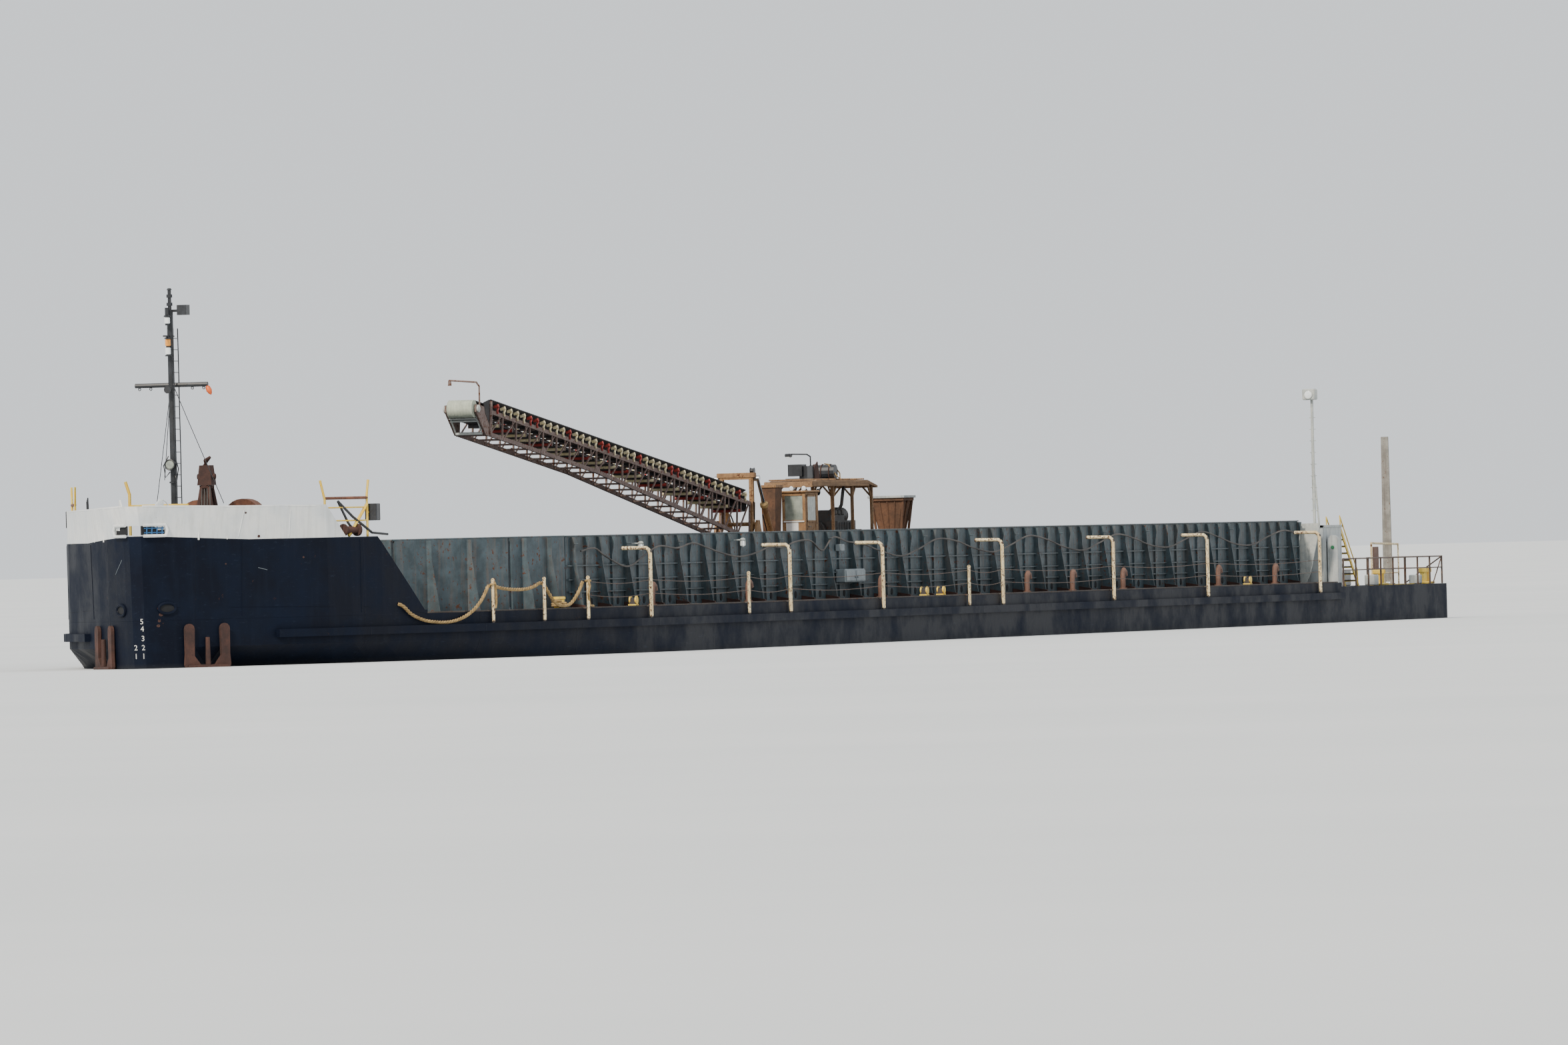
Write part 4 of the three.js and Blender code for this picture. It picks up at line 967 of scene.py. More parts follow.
@dataclass
class Cords:
    """Mooring rope along the port deck edge, and the cable hung along the port bin wall.

    Attributes:
        rope: Places that the rope's centre passes.
        rope_radius: Half the rope's thickness.
        lay: Length of one turn of the rope's three strands.
        cable: Distance aft and height of places on the cable.
        cable_radius: Half the cable's thickness.
    """

    rope: tuple[Place, ...] = (
        (868, -548, 754), (892, -569, 741), (930, -582, 716), (990, -601, 696), (1063, -622, 687),
        (1140, -643, 687), (1210, -663, 700), (1262, -679, 722), (1310, -688, 750), (1350, -693, 782),
        (1368, -694, 797), (1395, -701, 797), (1450, -716, 789), (1530, -735, 784), (1600, -750, 786),
        (1650, -760, 795), (1680, -764, 803), (1705, -768, 799), (1735, -773, 775), (1768, -780, 745),
        (1798, -785, 732), (1835, -786, 727.5), (1880, -787, 727.5), (1915, -793, 737), (1942, -803, 762),
        (1958, -811, 788), (1964, -815, 804),
    )
    rope_radius: float = 6
    lay: float = 44
    cable: tuple[tuple[float, float], ...] = (
        (2150, 903), (2300, 911), (2387, 888), (2605, 849), (2790, 880), (2960, 913), (3160, 906),
        (3330, 921), (3480, 905), (3650, 884), (3830, 872), (4010, 884), (4170, 902), (4320, 900),
        (4432, 916), (4619, 920), (4748, 886), (4873, 930), (5034, 914), (5200, 906), (5420, 878),
        (5640, 860), (5860, 884), (6080, 916), (6300, 908), (6520, 880), (6740, 866), (6960, 890),
        (7180, 920), (7400, 906), (7620, 876), (7840, 864), (8060, 890), (8280, 918), (8500, 902),
        (8720, 874), (8940, 868), (9160, 894), (9380, 920), (9600, 900), (9820, 872), (10040, 868),
        (10260, 896), (10480, 918), (10690, 905),
    )
    cable_radius: float = 3
    web_edge: tuple[tuple[float, float], tuple[float, float]] = ((42, DECK + 1), (16, 886))

    def strands(self, line: list[Vector]) -> list[bpy.types.Object]:
        """Three strands wound round the rope's line."""
        radius = self.rope_radius / 1000
        made = []
        for strand in range(3):
            wound, reached = [], 0.0
            for i, place in enumerate(line):
                before, after = line[max(i - 1, 0)], line[min(i + 1, len(line) - 1)]
                if i:
                    reached += (place - line[i - 1]).length
                ahead = (after - before).normalized()
                side = ahead.cross(Vector((0, 0, 1))).normalized()
                turn = 2 * math.pi * (reached * 1000 / self.lay + strand / 3)
                around = side * math.cos(turn) + side.cross(ahead) * math.sin(turn)
                wound.append(place + around * radius * 0.47)
            made.append(Bench.tube(wound, self.rope_radius * 0.53, 6))
        return made

    def build(self) -> None:
        """Adds both cords along the routes in the part's source."""
        fine = smooth_line(list(self.rope), 260)
        start = next(i for i, place in enumerate(fine) if place.y < spot(0, -556, 0).y)
        fine = fine[start:]
        rope = Bench.fuse("laid_mooring_rope", self.strands(fine), MANILA, replaces=("mooring_rope",))
        hung = smooth_line([(aft, 0, up) for aft, up in self.cable], 360)
        run = [
            Vector((place.x, -(WALL_FACE + self.clearance(place.z * 1000)) / 1000, place.z))
            for place in hung
        ]
        sheath = Bench.tube(run, self.cable_radius, 8)
        cable = Bench.fuse("bin_festoon_cable", [sheath], CABLE_SHEATH, replaces=("festoon_cable",))
        log.info("mooring rope is %.3f m long, bin cable %.3f m", run_length(fine), run_length(run))

    def clearance(self, height: float) -> float:
        """Distance of the cable's centre from the wall, where it lies on the edges of the webs."""
        low, high = self.web_edge
        depth = low[0] + (high[0] - low[0]) * (height - 2 * self.cable_radius - low[1]) / (high[1] - low[1])
        return max(depth, high[0]) + self.cable_radius + 0.6


@dataclass
class Bow:
    """What is welded and painted on the bow: draught marks, chocks, fins, seams and rust.

    Attributes:
        fairlead: Heights of the foot and the top of the opening at the stem.
        chocks: Distance aft and height of the oval chocks.
        marks: Draught marks: character, distance to starboard and height.
        seams: Weld seams: two ends as distance aft and height.
        scuffs: Rust spots: distance aft, height and width.
    """

    fairlead: tuple[float, float] = (990, 1012)
    chocks: tuple[tuple[float, float, Side], ...] = ((44, 755, Side.PORT), (40, 751, Side.STARBOARD))
    marks: tuple[tuple[str, float, float], ...] = (
        ("5", -11, 714), ("4", -12, 691), ("3", -13, 661), ("2", -13, 632), ("1", -13, 605), ("2", 12, 632),
        ("1", 12, 605),
    )
    seams: tuple[tuple[tuple[float, float], tuple[float, float]], ...] = (
        ((262, 1060), (250, 975)), ((420, 1056), (420, 972)), ((262, 960), (262, 725)),
        ((700, 960), (700, 725)), ((70, 757), (1035, 738)),
    )
    scuffs: tuple[Place, ...] = (
        (268, 1050, 9), (318, 975, 12), (30, 735, 14), (26, 715, 10), (24, 700, 12), (210, 890, 7),
        (470, 905, 8),
    )

    def hull_skin(self, side: Side) -> Skin:
        """The bow's whole side as one skin."""
        return Skin(("hull", "forecastle", "bulwark"), side)

    def chock_frames(self) -> None:
        """Adds the thick oval lips and, in their openings, near-black plates of painted shade."""
        lips, mouths = [], []
        for aft, up, side in self.chocks:
            skin = self.hull_skin(side)
            lips.append(Bench.tube(skin.oval((aft, up), 42, 34, 2), 5))
            rim = skin.oval((aft, up), 36, 28, 1.2)[:-1]
            middle = spot(0, 0, 0)
            # The mouth plate is near-black painted shade inside the chock opening.
            mouths.append(
                Bench.plate([self.back(place - middle) for place in rim], (0, side.value * 1.2, 0))
            )
        Bench.fuse("bow_chock_lips", lips, HULL)
        Bench.fuse("bow_chock_mouth_shade", mouths, INSIDE_SHADE)

    @staticmethod
    def back(place: Vector) -> Place:
        """Distances in mm of a place given in metres from the stem's foot."""
        return place.x * 1000, place.y * 1000, place.z * 1000

    def stem_lead(self) -> None:
        """Frames the stem's opening with thick white lips, fills it with painted shade and lays the blue
        ladder behind it.
        """
        foot, top = self.fairlead
        lips = []
        for side in Side:
            skin = self.hull_skin(side)
            ends = [self.back(skin.point(aft, 1024, 1) - spot(0, 0, 0)) for aft in (-26, 28)]
            for up in (foot - 6, top + 6):
                lips.append(Bench.tube([(ends[0][0], ends[0][1], up), (ends[1][0], ends[1][1], up)], 5))
            lips.append(
                Bench.tube(
                    [
                        (ends[1][0], ends[1][1], foot - 6),
                        (ends[1][0] + 3, ends[1][1] * 1.06, (foot + top) / 2),
                        (ends[1][0], ends[1][1], top + 6),
                    ], 5,
                )
            )
        Bench.fuse("stem_lead_lips", lips, BULWARK)
        mouths, rungs = [], []
        low, high = foot - 3, top + 4
        for side in Side:
            skin = self.hull_skin(side)
            (fore, near, _), (aft, wide, _) = [
                self.back(skin.point(aft, 1024, -4) - spot(0, 0, 0)) for aft in (-30, 27)
            ]
            if side is Side.PORT:
                fore_port, near_port, aft_port, wide_port = fore, near, aft, wide
            # A near-black plate of painted shade fills the opening behind the lips.
            mouths.append(
                Bench.plate(
                    [(fore, near, low), (aft, wide, low), (aft, wide, high), (fore, near, high)],
                    (0, -side.value * 2, 0),
                )
            )
        Bench.fuse("stem_lead_mouth_shade", mouths, INSIDE_SHADE)
        for share in (0.2, 0.42, 0.64, 0.86):
            x, y = fore_port + (aft_port - fore_port) * share, near_port + (wide_port - near_port) * share
            rungs.append(Bench.rod((x - 2, y - 3, low + 1), (x + 1, y - 3, high - 1), 2.2, 6))
        for up in (foot + 4, top - 4):
            rungs.append(
                Bench.rod((fore_port + 6, near_port - 7, up), (aft_port - 4, wide_port + 1, up), 2.2, 6)
            )
        Bench.fuse("stowed_deck_ladder", rungs, BLUE)

    def fins(self) -> None:
        """Adds the small plates that stand on the bulwark beside the stem, and the pipe behind them."""
        plates = []
        for side in Side:
            y = side.value
            plates.append(
                Bench.plate(
                    [(14, y * 52, 1076), (44, y * 72, 1076), (44, y * 72, 1098), (30, y * 64, 1100)],
                    (0, y * 3, 0), 0.6,
                )
            )
        plates.append(Bench.tube([(40, -72, 1098), (52, -80, 1090), (62, -88, 1070), (66, -91, 1056)], 2))
        Bench.fuse("bow_fins", plates, BULWARK)

    def bulwark_trim(self) -> None:
        """Adds the rounded cap along the bulwark and the stays inside it."""
        caps, stays = [], []
        edge = (
            (-38, 1076), (-20, 1076), (0, 1075), (30, 1074), (70, 1073), (120, 1072), (200, 1070),
            (300, 1069), (420, 1068), (510, 1066),
        )
        for side in Side:
            skin = Skin(("bulwark",), side)
            caps.append(Bench.tube([skin.point(aft, up, -3) for aft, up in edge], 4))
            for aft in (120, 210, 300, 390, 480):
                x, y, _ = self.back(skin.point(aft, 1040, -6) - spot(0, 0, 0))
                stays.append(
                    Bench.plate(
                        [
                            (x, y, 1060), (x, y, 968), (x, y - side.value * 44, 968),
                            (x, y - side.value * 8, 1060),
                        ], (4, 0, 0),
                    )
                )
        Bench.fuse("bulwark_cap", caps, BULWARK)
        Bench.fuse("bulwark_stays", stays, BULWARK)

    def paintwork(self) -> None:
        """Adds draught marks, seams, scratches and rust spots."""
        Bench.fuse(
            "draught_marks",
            [self.hull_skin(Side.PORT).writing(mark, across, up, 17) for mark, across, up in self.marks],
            WHITE,
        )
        port = self.hull_skin(Side.PORT)
        starboard = self.hull_skin(Side.STARBOARD)
        Bench.fuse(
            "bow_weld_seams",
            [
                Bench.tube(skin.line(start, end, 0.2), 1.1, 6) for start, end in self.seams[2:]
                for skin in (port, starboard)
            ], HULL,
        )
        Bench.fuse(
            "bulwark_weld_seams",
            [Bench.tube(port.line(start, end, 0.2), 1.2, 6) for start, end in self.seams[:2]], BULWARK,
        )
        spots = [Bench.tube(port.oval((aft, up), size * 0.5, size * 0.4, -size * 0.12), size * 0.24, 6)
                 for aft, up, size in self.scuffs]
        Bench.fuse("bow_rust_spots", spots, RUST)
        scratch = [Bench.tube(starboard.line((60, 865), (20, 910), 0), 0.8, 6),
                   Bench.tube(port.line((316, 876), (346, 868), 0), 0.8, 6)]
        Bench.fuse("bow_scratches", scratch, CABINET)

    def build(self) -> None:
        """Adds every piece of the bow."""
        self.chock_frames()
        self.stem_lead()
        self.fins()
        self.bulwark_trim()
        self.paintwork()


@dataclass
class Foredeck:
    """Lamps, stays and searchlight on the mast, and the gear on the forecastle deck.

    Attributes:
        mast: Distance aft of the mast.
        deck: Height of the forecastle deck.
    """

    mast: float = 350
    deck: float = FORECASTLE_DECK

    def lamps(self) -> None:
        """Adds the glass and the caps of the mast lamps, the yard's rings and the horn."""
        aft = self.mast - 24
        clear = [
            Bench.turned([(0, 4), (3, 9), (22, 9), (25, 4)], (aft, 0, 1556), (aft, 0, 1600)),
            Bench.turned(
                [(0, 4), (3, 9), (20, 9), (24, 4)], (self.mast - 26, 0, 1654), (self.mast - 26, 0, 1700),
            ),
        ]
        amber = [Bench.turned([(0, 4), (3, 9), (22, 9), (25, 4)], (aft, 0, 1583), (aft, 0, 1620))]
        caps = [
            Bench.turned([(0, 11), (3, 11), (7, 5)], (aft, 0, 1607), (aft, 0, 1620)),
            Bench.turned([(0, 10), (4, 10)], (aft, 0, 1552), (aft, 0, 1560)),
            Bench.turned([(0, 11), (3, 11), (8, 4)], (self.mast - 26, 0, 1677), (self.mast - 26, 0, 1700)),
            Bench.rod((self.mast - 64, 0, 1616), (self.mast + 34, 0, 1616), 2.5, 6),
            Bench.rod((self.mast, 0, 1762), (self.mast, 0, 1768), 9, 12, 5),
        ]
        for across in (-108, -70, 70, 108):
            caps.append(Bench.ring((self.mast, across, 1450), (1, 0, 0), 4, 1.4, 12))
        horn = [
            Bench.turned(
                [(0, 4), (14, 5), (26, 12), (28, 12)], (self.mast - 12, 0, 1446), (self.mast - 60, 0, 1446),
            )
        ]
        Bench.fuse("mast_lamp_glass", clear, GLASS)
        Bench.fuse("mast_lamp_amber", amber, AMBER)
        Bench.fuse("mast_lamp_caps", caps + horn, BLACK)

    def stays(self) -> None:
        """Adds the wire stays and the cable loops behind the searchlight."""
        aft = self.mast
        wires = [
            Bench.tube([(aft, 6, 1432), (aft - 10, 58, 1072)], 1.2, 6),
            Bench.tube([(aft, 6, 1424), (aft - 4, 30, 1160)], 1.2, 6),
            Bench.tube([(aft, -10, 1450), (aft + 2, -50, 1352), (aft + 6, -164, 1082)], 1.2, 6),
            Bench.tube(
                [(aft - 10, -3, 1590), (aft - 18, -9, 1500), (aft - 14, -12, 1400), (aft - 16, -12, 1230)],
                1.4, 6,
            ),
            Bench.tube(
                [(aft - 12, 12, 1236), (aft - 20, 26, 1206), (aft - 16, 22, 1168), (aft - 11, 8, 1186)], 2, 6
            ),
            Bench.tube(
                [(aft - 12, -12, 1226), (aft - 22, -24, 1196), (aft - 16, -16, 1160), (aft - 11, -8, 1178)],
                2, 6,
            ),
        ]
        Bench.fuse("mast_stays", wires, BLACK)
        Bench.fuse(
            "yard_fender",
            [
                Bench.turned(
                    [(0, 2), (8, 8), (20, 9), (30, 5), (34, 1)], (aft, -118, 1458), (aft, -136, 1420),
                )
            ], ORANGE,
        )

    def searchlight(self) -> None:
        """Adds the searchlight's glass, bezel and ledge disc on the mast."""
        aft, up = self.mast, 1208
        Bench.fuse(
            "searchlight_glass",
            [Bench.turned([(0, 14), (2, 12), (3, 6)], (aft - 35, 0, up), (aft - 40, 0, up), 20)], PANE,
        )
        Bench.fuse("searchlight_bezel", [
            Bench.ring((aft - 35, 0, up), (1, 0, 0), 16, 2, 24),
            Bench.turned([(0, 17), (12, 15), (20, 7)], (aft - 33, 0, up), (aft, 0, up), 20),
            Bench.turned([(0, 12), (5, 12)], (aft - 8, 0, 1150), (aft - 8, 0, 1160)),
        ], BLACK)

    def gear(self) -> None:
        """Adds the ropes, hoses, chain and flanges on the deck and the sticks on the bulwark."""
        hoses = [
            Bench.tube(
                [(610, -20 + 12 * i, self.deck + 4), (622, -22 + 10 * i, 1060), (640, -16 + 9 * i, 1150)],
                2.6, 6,
            ) for i in range(4)
        ]
        hoses.append(Bench.tube([(700, 24, 1150), (730, 40, 1110), (790, 44, 1040), (868, 40, 1010)], 3, 6))
        Bench.fuse("pedestal_hoses", hoses, CABLE_SHEATH)
        flanges = []
        for side in Side:
            for across in (20, 64, 116, 146):
                flanges.append(Bench.turned([(0, 34), (4, 34)], (899, side.value * across, self.deck + 50),
                                            (899, side.value * (across + 9), self.deck + 50), 18))
        flanges += [Bench.turned([(0, 22), (6, 24), (10, 24)], (655, 0, 1132), (655, 0, 1150), 14)]
        Bench.fuse("windlass_flanges", flanges, RUST)
        chain = []
        for side in Side:
            for i in range(9):
                place = (860 - 34 * i, side.value * (44 + 9 * i), self.deck + 8)
                chain.append(Bench.ring(place, (0, 0, 1) if i % 2 else (0, 1, 0), 9, 2.6, 12))
        Bench.fuse("anchor_chain", chain, RUST)
        ropes = [
            Bench.tube(
                [
                    (640, -446, 1080), (700, -474, 1030), (780, -510, self.deck + 12),
                    (850, -538, self.deck + 6),
                ], 4, 6,
            ), Bench.tube([(640, -446, 1080), (690, -462, 1010), (742, -470, self.deck + 10)], 4, 6),
            Bench.tube(
                [
                    (600, 200, self.deck + 6), (700, 240, self.deck + 6), (760, 200, self.deck + 6),
                    (720, 150, self.deck + 6), (640, 170, self.deck + 6),
                ], 5, 6,
            ),
        ]
        Bench.fuse("dark_deck_ropes", ropes, BLACK)
        sticks = [
            Bench.rod((568 + 14 * i, 372 + 7 * i, 1062), (566 + 14 * i, 372 + 7 * i, 1112 - 6 * i), 2.2, 6)
            for i in range(3)
        ]
        Bench.fuse("bulwark_sticks", sticks, BLACK)

    def light_boxes(self) -> None:
        """Adds the floodlights, top bars and rollers of the deck gates."""
        boxes, glass = [], []
        for side in Side:
            y = side.value
            boxes.append(Bench.block((777, y * 488, 1017), (814, y * 528, 1071), 2))
            glass.append(Bench.block((813, y * 493, 1023), (816, y * 523, 1065), 1))
        Bench.fuse("gate_floodlights", boxes, BLACK)
        bars = [
            Bench.rod((583, side.value * 422, 1090), (765, side.value * 500, 1090), 4.6, 8) for side in Side
        ]
        Bench.fuse("gate_top_bars", bars, WINCH)
        Bench.fuse("gate_floodlight_glass", glass, GLASS)
        rollers = []
        for side in Side:
            start, end = (664, side.value * 452, 988), (738, side.value * 486, 988)
            rollers.append(
                Bench.turned([(0, 20), (6, 20), (7, 12), (60, 12), (61, 20), (70, 20)], start, end, 16)
            )
        Bench.fuse("gate_rollers", rollers, RUST)

    def build(self) -> None:
        """Adds every piece of the foredeck."""
        self.lamps()
        self.stays()
        self.searchlight()
        self.gear()
        self.light_boxes()


@dataclass
class Bin:
    """What is welded and hung on the cargo bin's walls.

    Attributes:
        straight: Distance aft at which the straight walls start and end.
        knees: Corners of the walls' top edge from the fore wall to the straight wall: aft and half breadth.
        pitch: Distance between two webs.
        bars: Heights of the bars that run lengthways.
        lamps: Distance aft of the lamps on the port wall, and the height of their foot.
    """

    straight: tuple[float, float] = (2050, 10740)
    knees: tuple[tuple[float, float], ...] = ((1235, 0), (1235, 418), (1700, 646), (2050, 726))
    pitch: float = 274
    bars: Place = (856, 810, 770)
    lamps: tuple[tuple[float, float], ...] = ((2737, 902), (3830, 906))

    def rims(self) -> None:
        """Adds the flat bar that caps all the walls, and the bars that run between the webs."""
        start, end = self.straight
        caps, bars = [], []
        for side in Side:
            y = side.value
            caps.append(Bench.block((start, y * 718, WALL_TOP), (end, y * 736, WALL_TOP + 4), 1))
            for (a, half_a), (b, half_b) in zip(self.knees, self.knees[1:]):
                caps.append(Bench.tube([(a, y * half_a, WALL_TOP + 1), (b, y * half_b, WALL_TOP + 1)], 4, 6))
            for up in self.bars:
                bars.append(Bench.block((start + 4, y * 729, up - 2), (end - 4, y * 739, up + 2)))
        caps.append(Bench.block((end, -718, WALL_TOP), (end + 12, 718, WALL_TOP + 4), 1))
        Bench.fuse("bin_wall_rim", caps, BIN)
        Bench.fuse("bin_wall_bars", bars, BIN)

    def feet(self) -> None:
        """Adds near-black discs of painted shade where the scuppers open at the foot of the walls, and the
        pads under the webs.
        """
        start, end = self.straight
        # Each thin disc on the wall is near-black painted shade for a scupper's opening.
        first = Bench.turned([(0, 12), (1.6, 12)], (start + 118, -730, 738), (start + 118, -740, 738), 12)
        count = int((end - start - 160) / (self.pitch / 2))
        scuppers = Bench.copies(first, [(self.pitch / 2 * i, 0, 0) for i in range(1, count)])
        scuppers += Bench.mirrored(scuppers)
        pad = Bench.plate(
            [
                (start + 46, -731, 718), (start + 46, -779, 718), (start + 46, -776, 726),
                (start + 46, -731, 734),
            ], (12, 0, 0),
        )
        webs = len(steps(start + 50, end - 60, self.pitch))
        pads = Bench.copies(pad, [(self.pitch * i, 0, 0) for i in range(1, webs)])
        pads += Bench.mirrored(pads)
        Bench.fuse("bin_scupper_shade", scuppers, INSIDE_SHADE)
        Bench.fuse("bin_web_pads", pads, RUST)

    def fittings(self) -> None:
        """Adds the caged lamps, the switch cabinet and the cable clips on the port wall."""
        cases, glass, across = [], [], -762
        for aft, foot in self.lamps:
            cases += [
                Bench.rod((aft, -730, foot + 22), (aft, across, foot + 22), 2.5, 6),
                Bench.turned(
                    [(0, 4), (2, 9), (6, 9), (9, 4)], (aft, across, foot + 20), (aft, across, foot + 60), 12,
                ),
            ]
            cases += [
                Bench.tube(
                    [
                        (aft + 9 * math.cos(turn), across + 9 * math.sin(turn), foot + 20),
                        (aft + 9 * math.cos(turn), across + 9 * math.sin(turn), foot + 4),
                        (aft, across, foot - 2),
                    ], 0.9, 4,
                ) for turn in (0, math.pi / 2, math.pi, math.pi * 1.5)
            ]
            glass.append(
                Bench.turned(
                    [(0, 4), (3, 7), (14, 7), (19, 6)], (aft, across, foot), (aft, across, foot + 40), 12,
                )
            )
        Bench.fuse("bin_lamp_cages", cases, GALVANISED)
        Bench.fuse("bin_lamp_glass", glass, GLASS)
        cabinet = [
            Bench.block((4946, -732, 774), (5171, -768, 820), 3),
            Bench.block((4952, -767, 779), (5055, -771, 815), 1),
            Bench.block((5062, -767, 779), (5165, -771, 815), 1),
            Bench.block((4950, -732, 882), (4984, -756, 906), 2),
            Bench.rod((5048, -770, 792), (5048, -776, 792), 3, 8),
            Bench.rod((5070, -770, 792), (5070, -776, 792), 3, 8),
        ]
        Bench.fuse("bin_switch_cabinet", cabinet, CABINET)
        clip = Bench.block((2096, -744, 925), (2108, -757, 929), 1)
        Bench.fuse(
            "bin_cable_clips", Bench.copies(clip, [(self.pitch * 2 * i, 0, 0) for i in range(1, 15)]), BIN,
        )

    def build(self) -> None:
        """Adds every piece of the bin."""
        self.rims()
        self.feet()
        self.fittings()


@dataclass
class SideDecks:
    """Sleeves, wires, vents, bitts and rope on the side decks.

    Attributes:
        lamp_posts: Distance aft and half breadth of the bent pipes that lean on the bin walls.
        rail_posts: Distance aft and half breadth of the short posts.
        vents: Distance aft of the tank vents.
        bitts: Distance aft of the mooring bitts.
        wires: Heights of the two rail wires.
    """

    lamp_posts: tuple[tuple[float, float], ...] = (
        (2465, 883.6), (3934, 893), (4978, 893), (6382, 893), (7747, 893), (8957, 893), (10465, 893),
    )
    rail_posts: tuple[tuple[float, float], ...] = (
        (1376, 707.7), (1685, 777.7), (1976, 829.8), (3480, 893), (5980, 893),
    )
    vents: tuple[float, ...] = (2694, 3721, 5205, 6940, 7498, 8134, 9369, 10127)
    bitts: tuple[float, ...] = (2417, 5627, 5822, 9672)
    wires: tuple[float, float] = (804, 760)

    def posts(self) -> None:
        """Paints the posts cream: a sleeve round each, with a collar at its foot."""
        sleeves = []
        for aft, half in self.lamp_posts:
            y = -half
            sleeves.append(
                Bench.tube(
                    [
                        (aft, y, 684), (aft, y, 890), (aft, y + 5, 902), (aft, y + 14, 908.5),
                        (aft, y + 96, 909.2),
                    ], 6.4, 10,
                )
            )
        for aft, half in self.rail_posts:
            sleeves += [
                Bench.rod((aft, -half, 684), (aft, -half, 818), 5.4, 10),
                Bench.ring((aft, -half, 816), (1, 0, 0), 5, 1.6, 12),
            ]
        sleeves += Bench.mirrored(sleeves)
        Bench.fuse("side_post_sleeves", sleeves, CREAM)

    def rail_wires(self) -> None:
        """Adds two slack wires from post to post on either side."""
        lines = []
        posts = sorted(
            self.lamp_posts[1:] + self.rail_posts[3:] + (self.lamp_posts[0],) + self.rail_posts[2:3]
        )
        for up in self.wires:
            for (a, half_a), (b, half_b) in zip(posts, posts[1:]):
                run = []
                for i in range(9):
                    t = i / 8
                    run.append(
                        (a + (b - a) * t, -(half_a + (half_b - half_a) * t), up - 10 * math.sin(math.pi * t))
                    )
                lines.append(Bench.tube(run, 1.1, 4))
        lines += Bench.mirrored(lines)
        Bench.fuse("side_rail_wires", lines, RAIL)

    def tank_vents(self) -> None:
        """Adds the fat bent vent pipes, with near-black discs of painted shade in their mouths."""
        across = -812
        pipe = Bench.tube(
            [
                (0, across, 720), (0, across, 766), (4, across, 780), (14, across, 788), (26, across, 782),
                (31, across, 768),
            ], 9.5, 12,
        )
        # The disc in each pipe's mouth is near-black painted shade.
        mouth = Bench.turned([(0, 8.4), (2, 8.4)], (31.3, across, 767), (31.6, across, 760), 12)
        pipes = Bench.copies(pipe, [(aft, 0, 0) for aft in self.vents])[1:]
        mouths = Bench.copies(mouth, [(aft, 0, 0) for aft in self.vents])[1:]
        bpy.data.objects.remove(pipe)
        bpy.data.objects.remove(mouth)
        flanges = [
            Bench.turned([(0, 15), (4, 15)], (aft, across, 720), (aft, across, 730), 12)
            for aft in self.vents
        ]
        for group, name, finish in (
            (pipes + flanges, "tank_vents", VENT), (mouths, "tank_vent_mouth_shade", INSIDE_SHADE),
        ):
            Bench.fuse(name, group + Bench.mirrored(group), finish)

    def mooring(self) -> None:
        """Adds the yellow deck rollers, the caps of the bitts and the rope's turns round them."""
        rollers, cores = [], []
        for aft in self.bitts:
            rollers += [
                Bench.turned([(0, 14), (5, 14)], (aft, y, 738), (aft, y - 1, 738), 16) for y in (-826, -846)
            ]
            rollers.append(Bench.block((aft - 16, -851, 720), (aft + 16, -824, 725), 1))
            cores.append(Bench.turned([(0, 9), (24, 9)], (aft, -826, 738), (aft, -850, 738), 12))
        Bench.fuse("deck_rollers", rollers + Bench.mirrored(rollers), YELLOW)
        Bench.fuse("deck_roller_cores", cores + Bench.mirrored(cores), BLACK)
        caps = [
            Bench.turned(
                [(0, 9.6), (26, 9.6), (28, 12.6), (34, 12.6), (36, 9)], (aft, -768, 721), (aft, -768, 800),
                16,
            ) for aft in (1835, 1887)
        ]
        Bench.fuse("mooring_bitt_posts", caps + Bench.mirrored(caps), YELLOW)
        turns = [Bench.ring((1835, -768, 727 + 8 * i), (0.1 * (-1) ** i, 0, 1), 14, 4, 18) for i in range(3)]
        turns += [
            Bench.ring((1885, -769, 730 + 7 * i), (0, 0.12 * (-1) ** i, 1), 14, 4, 18) for i in range(2)
        ]
        turns.append(
            Bench.tube(
                [
                    (1375, -712, 812), (1380, -716, 800), (1378, -718, 770), (1384, -716, 742),
                    (1380, -714, 726),
                ], 3.6, 6,
            )
        )
        turns.append(
            Bench.tube(
                [
                    (1966, -834, 810), (1972, -838, 790), (1960, -836, 766), (1970, -834, 748),
                    (1990, -830, 726), (2040, -826, 724),
                ], 3.6, 6,
            )
        )
        turns.append(Bench.ring((1976, -829.8, 806), (0.2, 0.1, 1), 8, 3.4, 14))
        turns.append(Bench.ring((1376, -707.7, 804), (-0.1, 0.2, 1), 8, 3.4, 14))
        Bench.fuse("rope_turns", turns, MANILA)

    def build(self) -> None:
        """Adds every piece of the side decks."""
        self.posts()
        self.rail_wires()
        self.tank_vents()
        self.mooring()


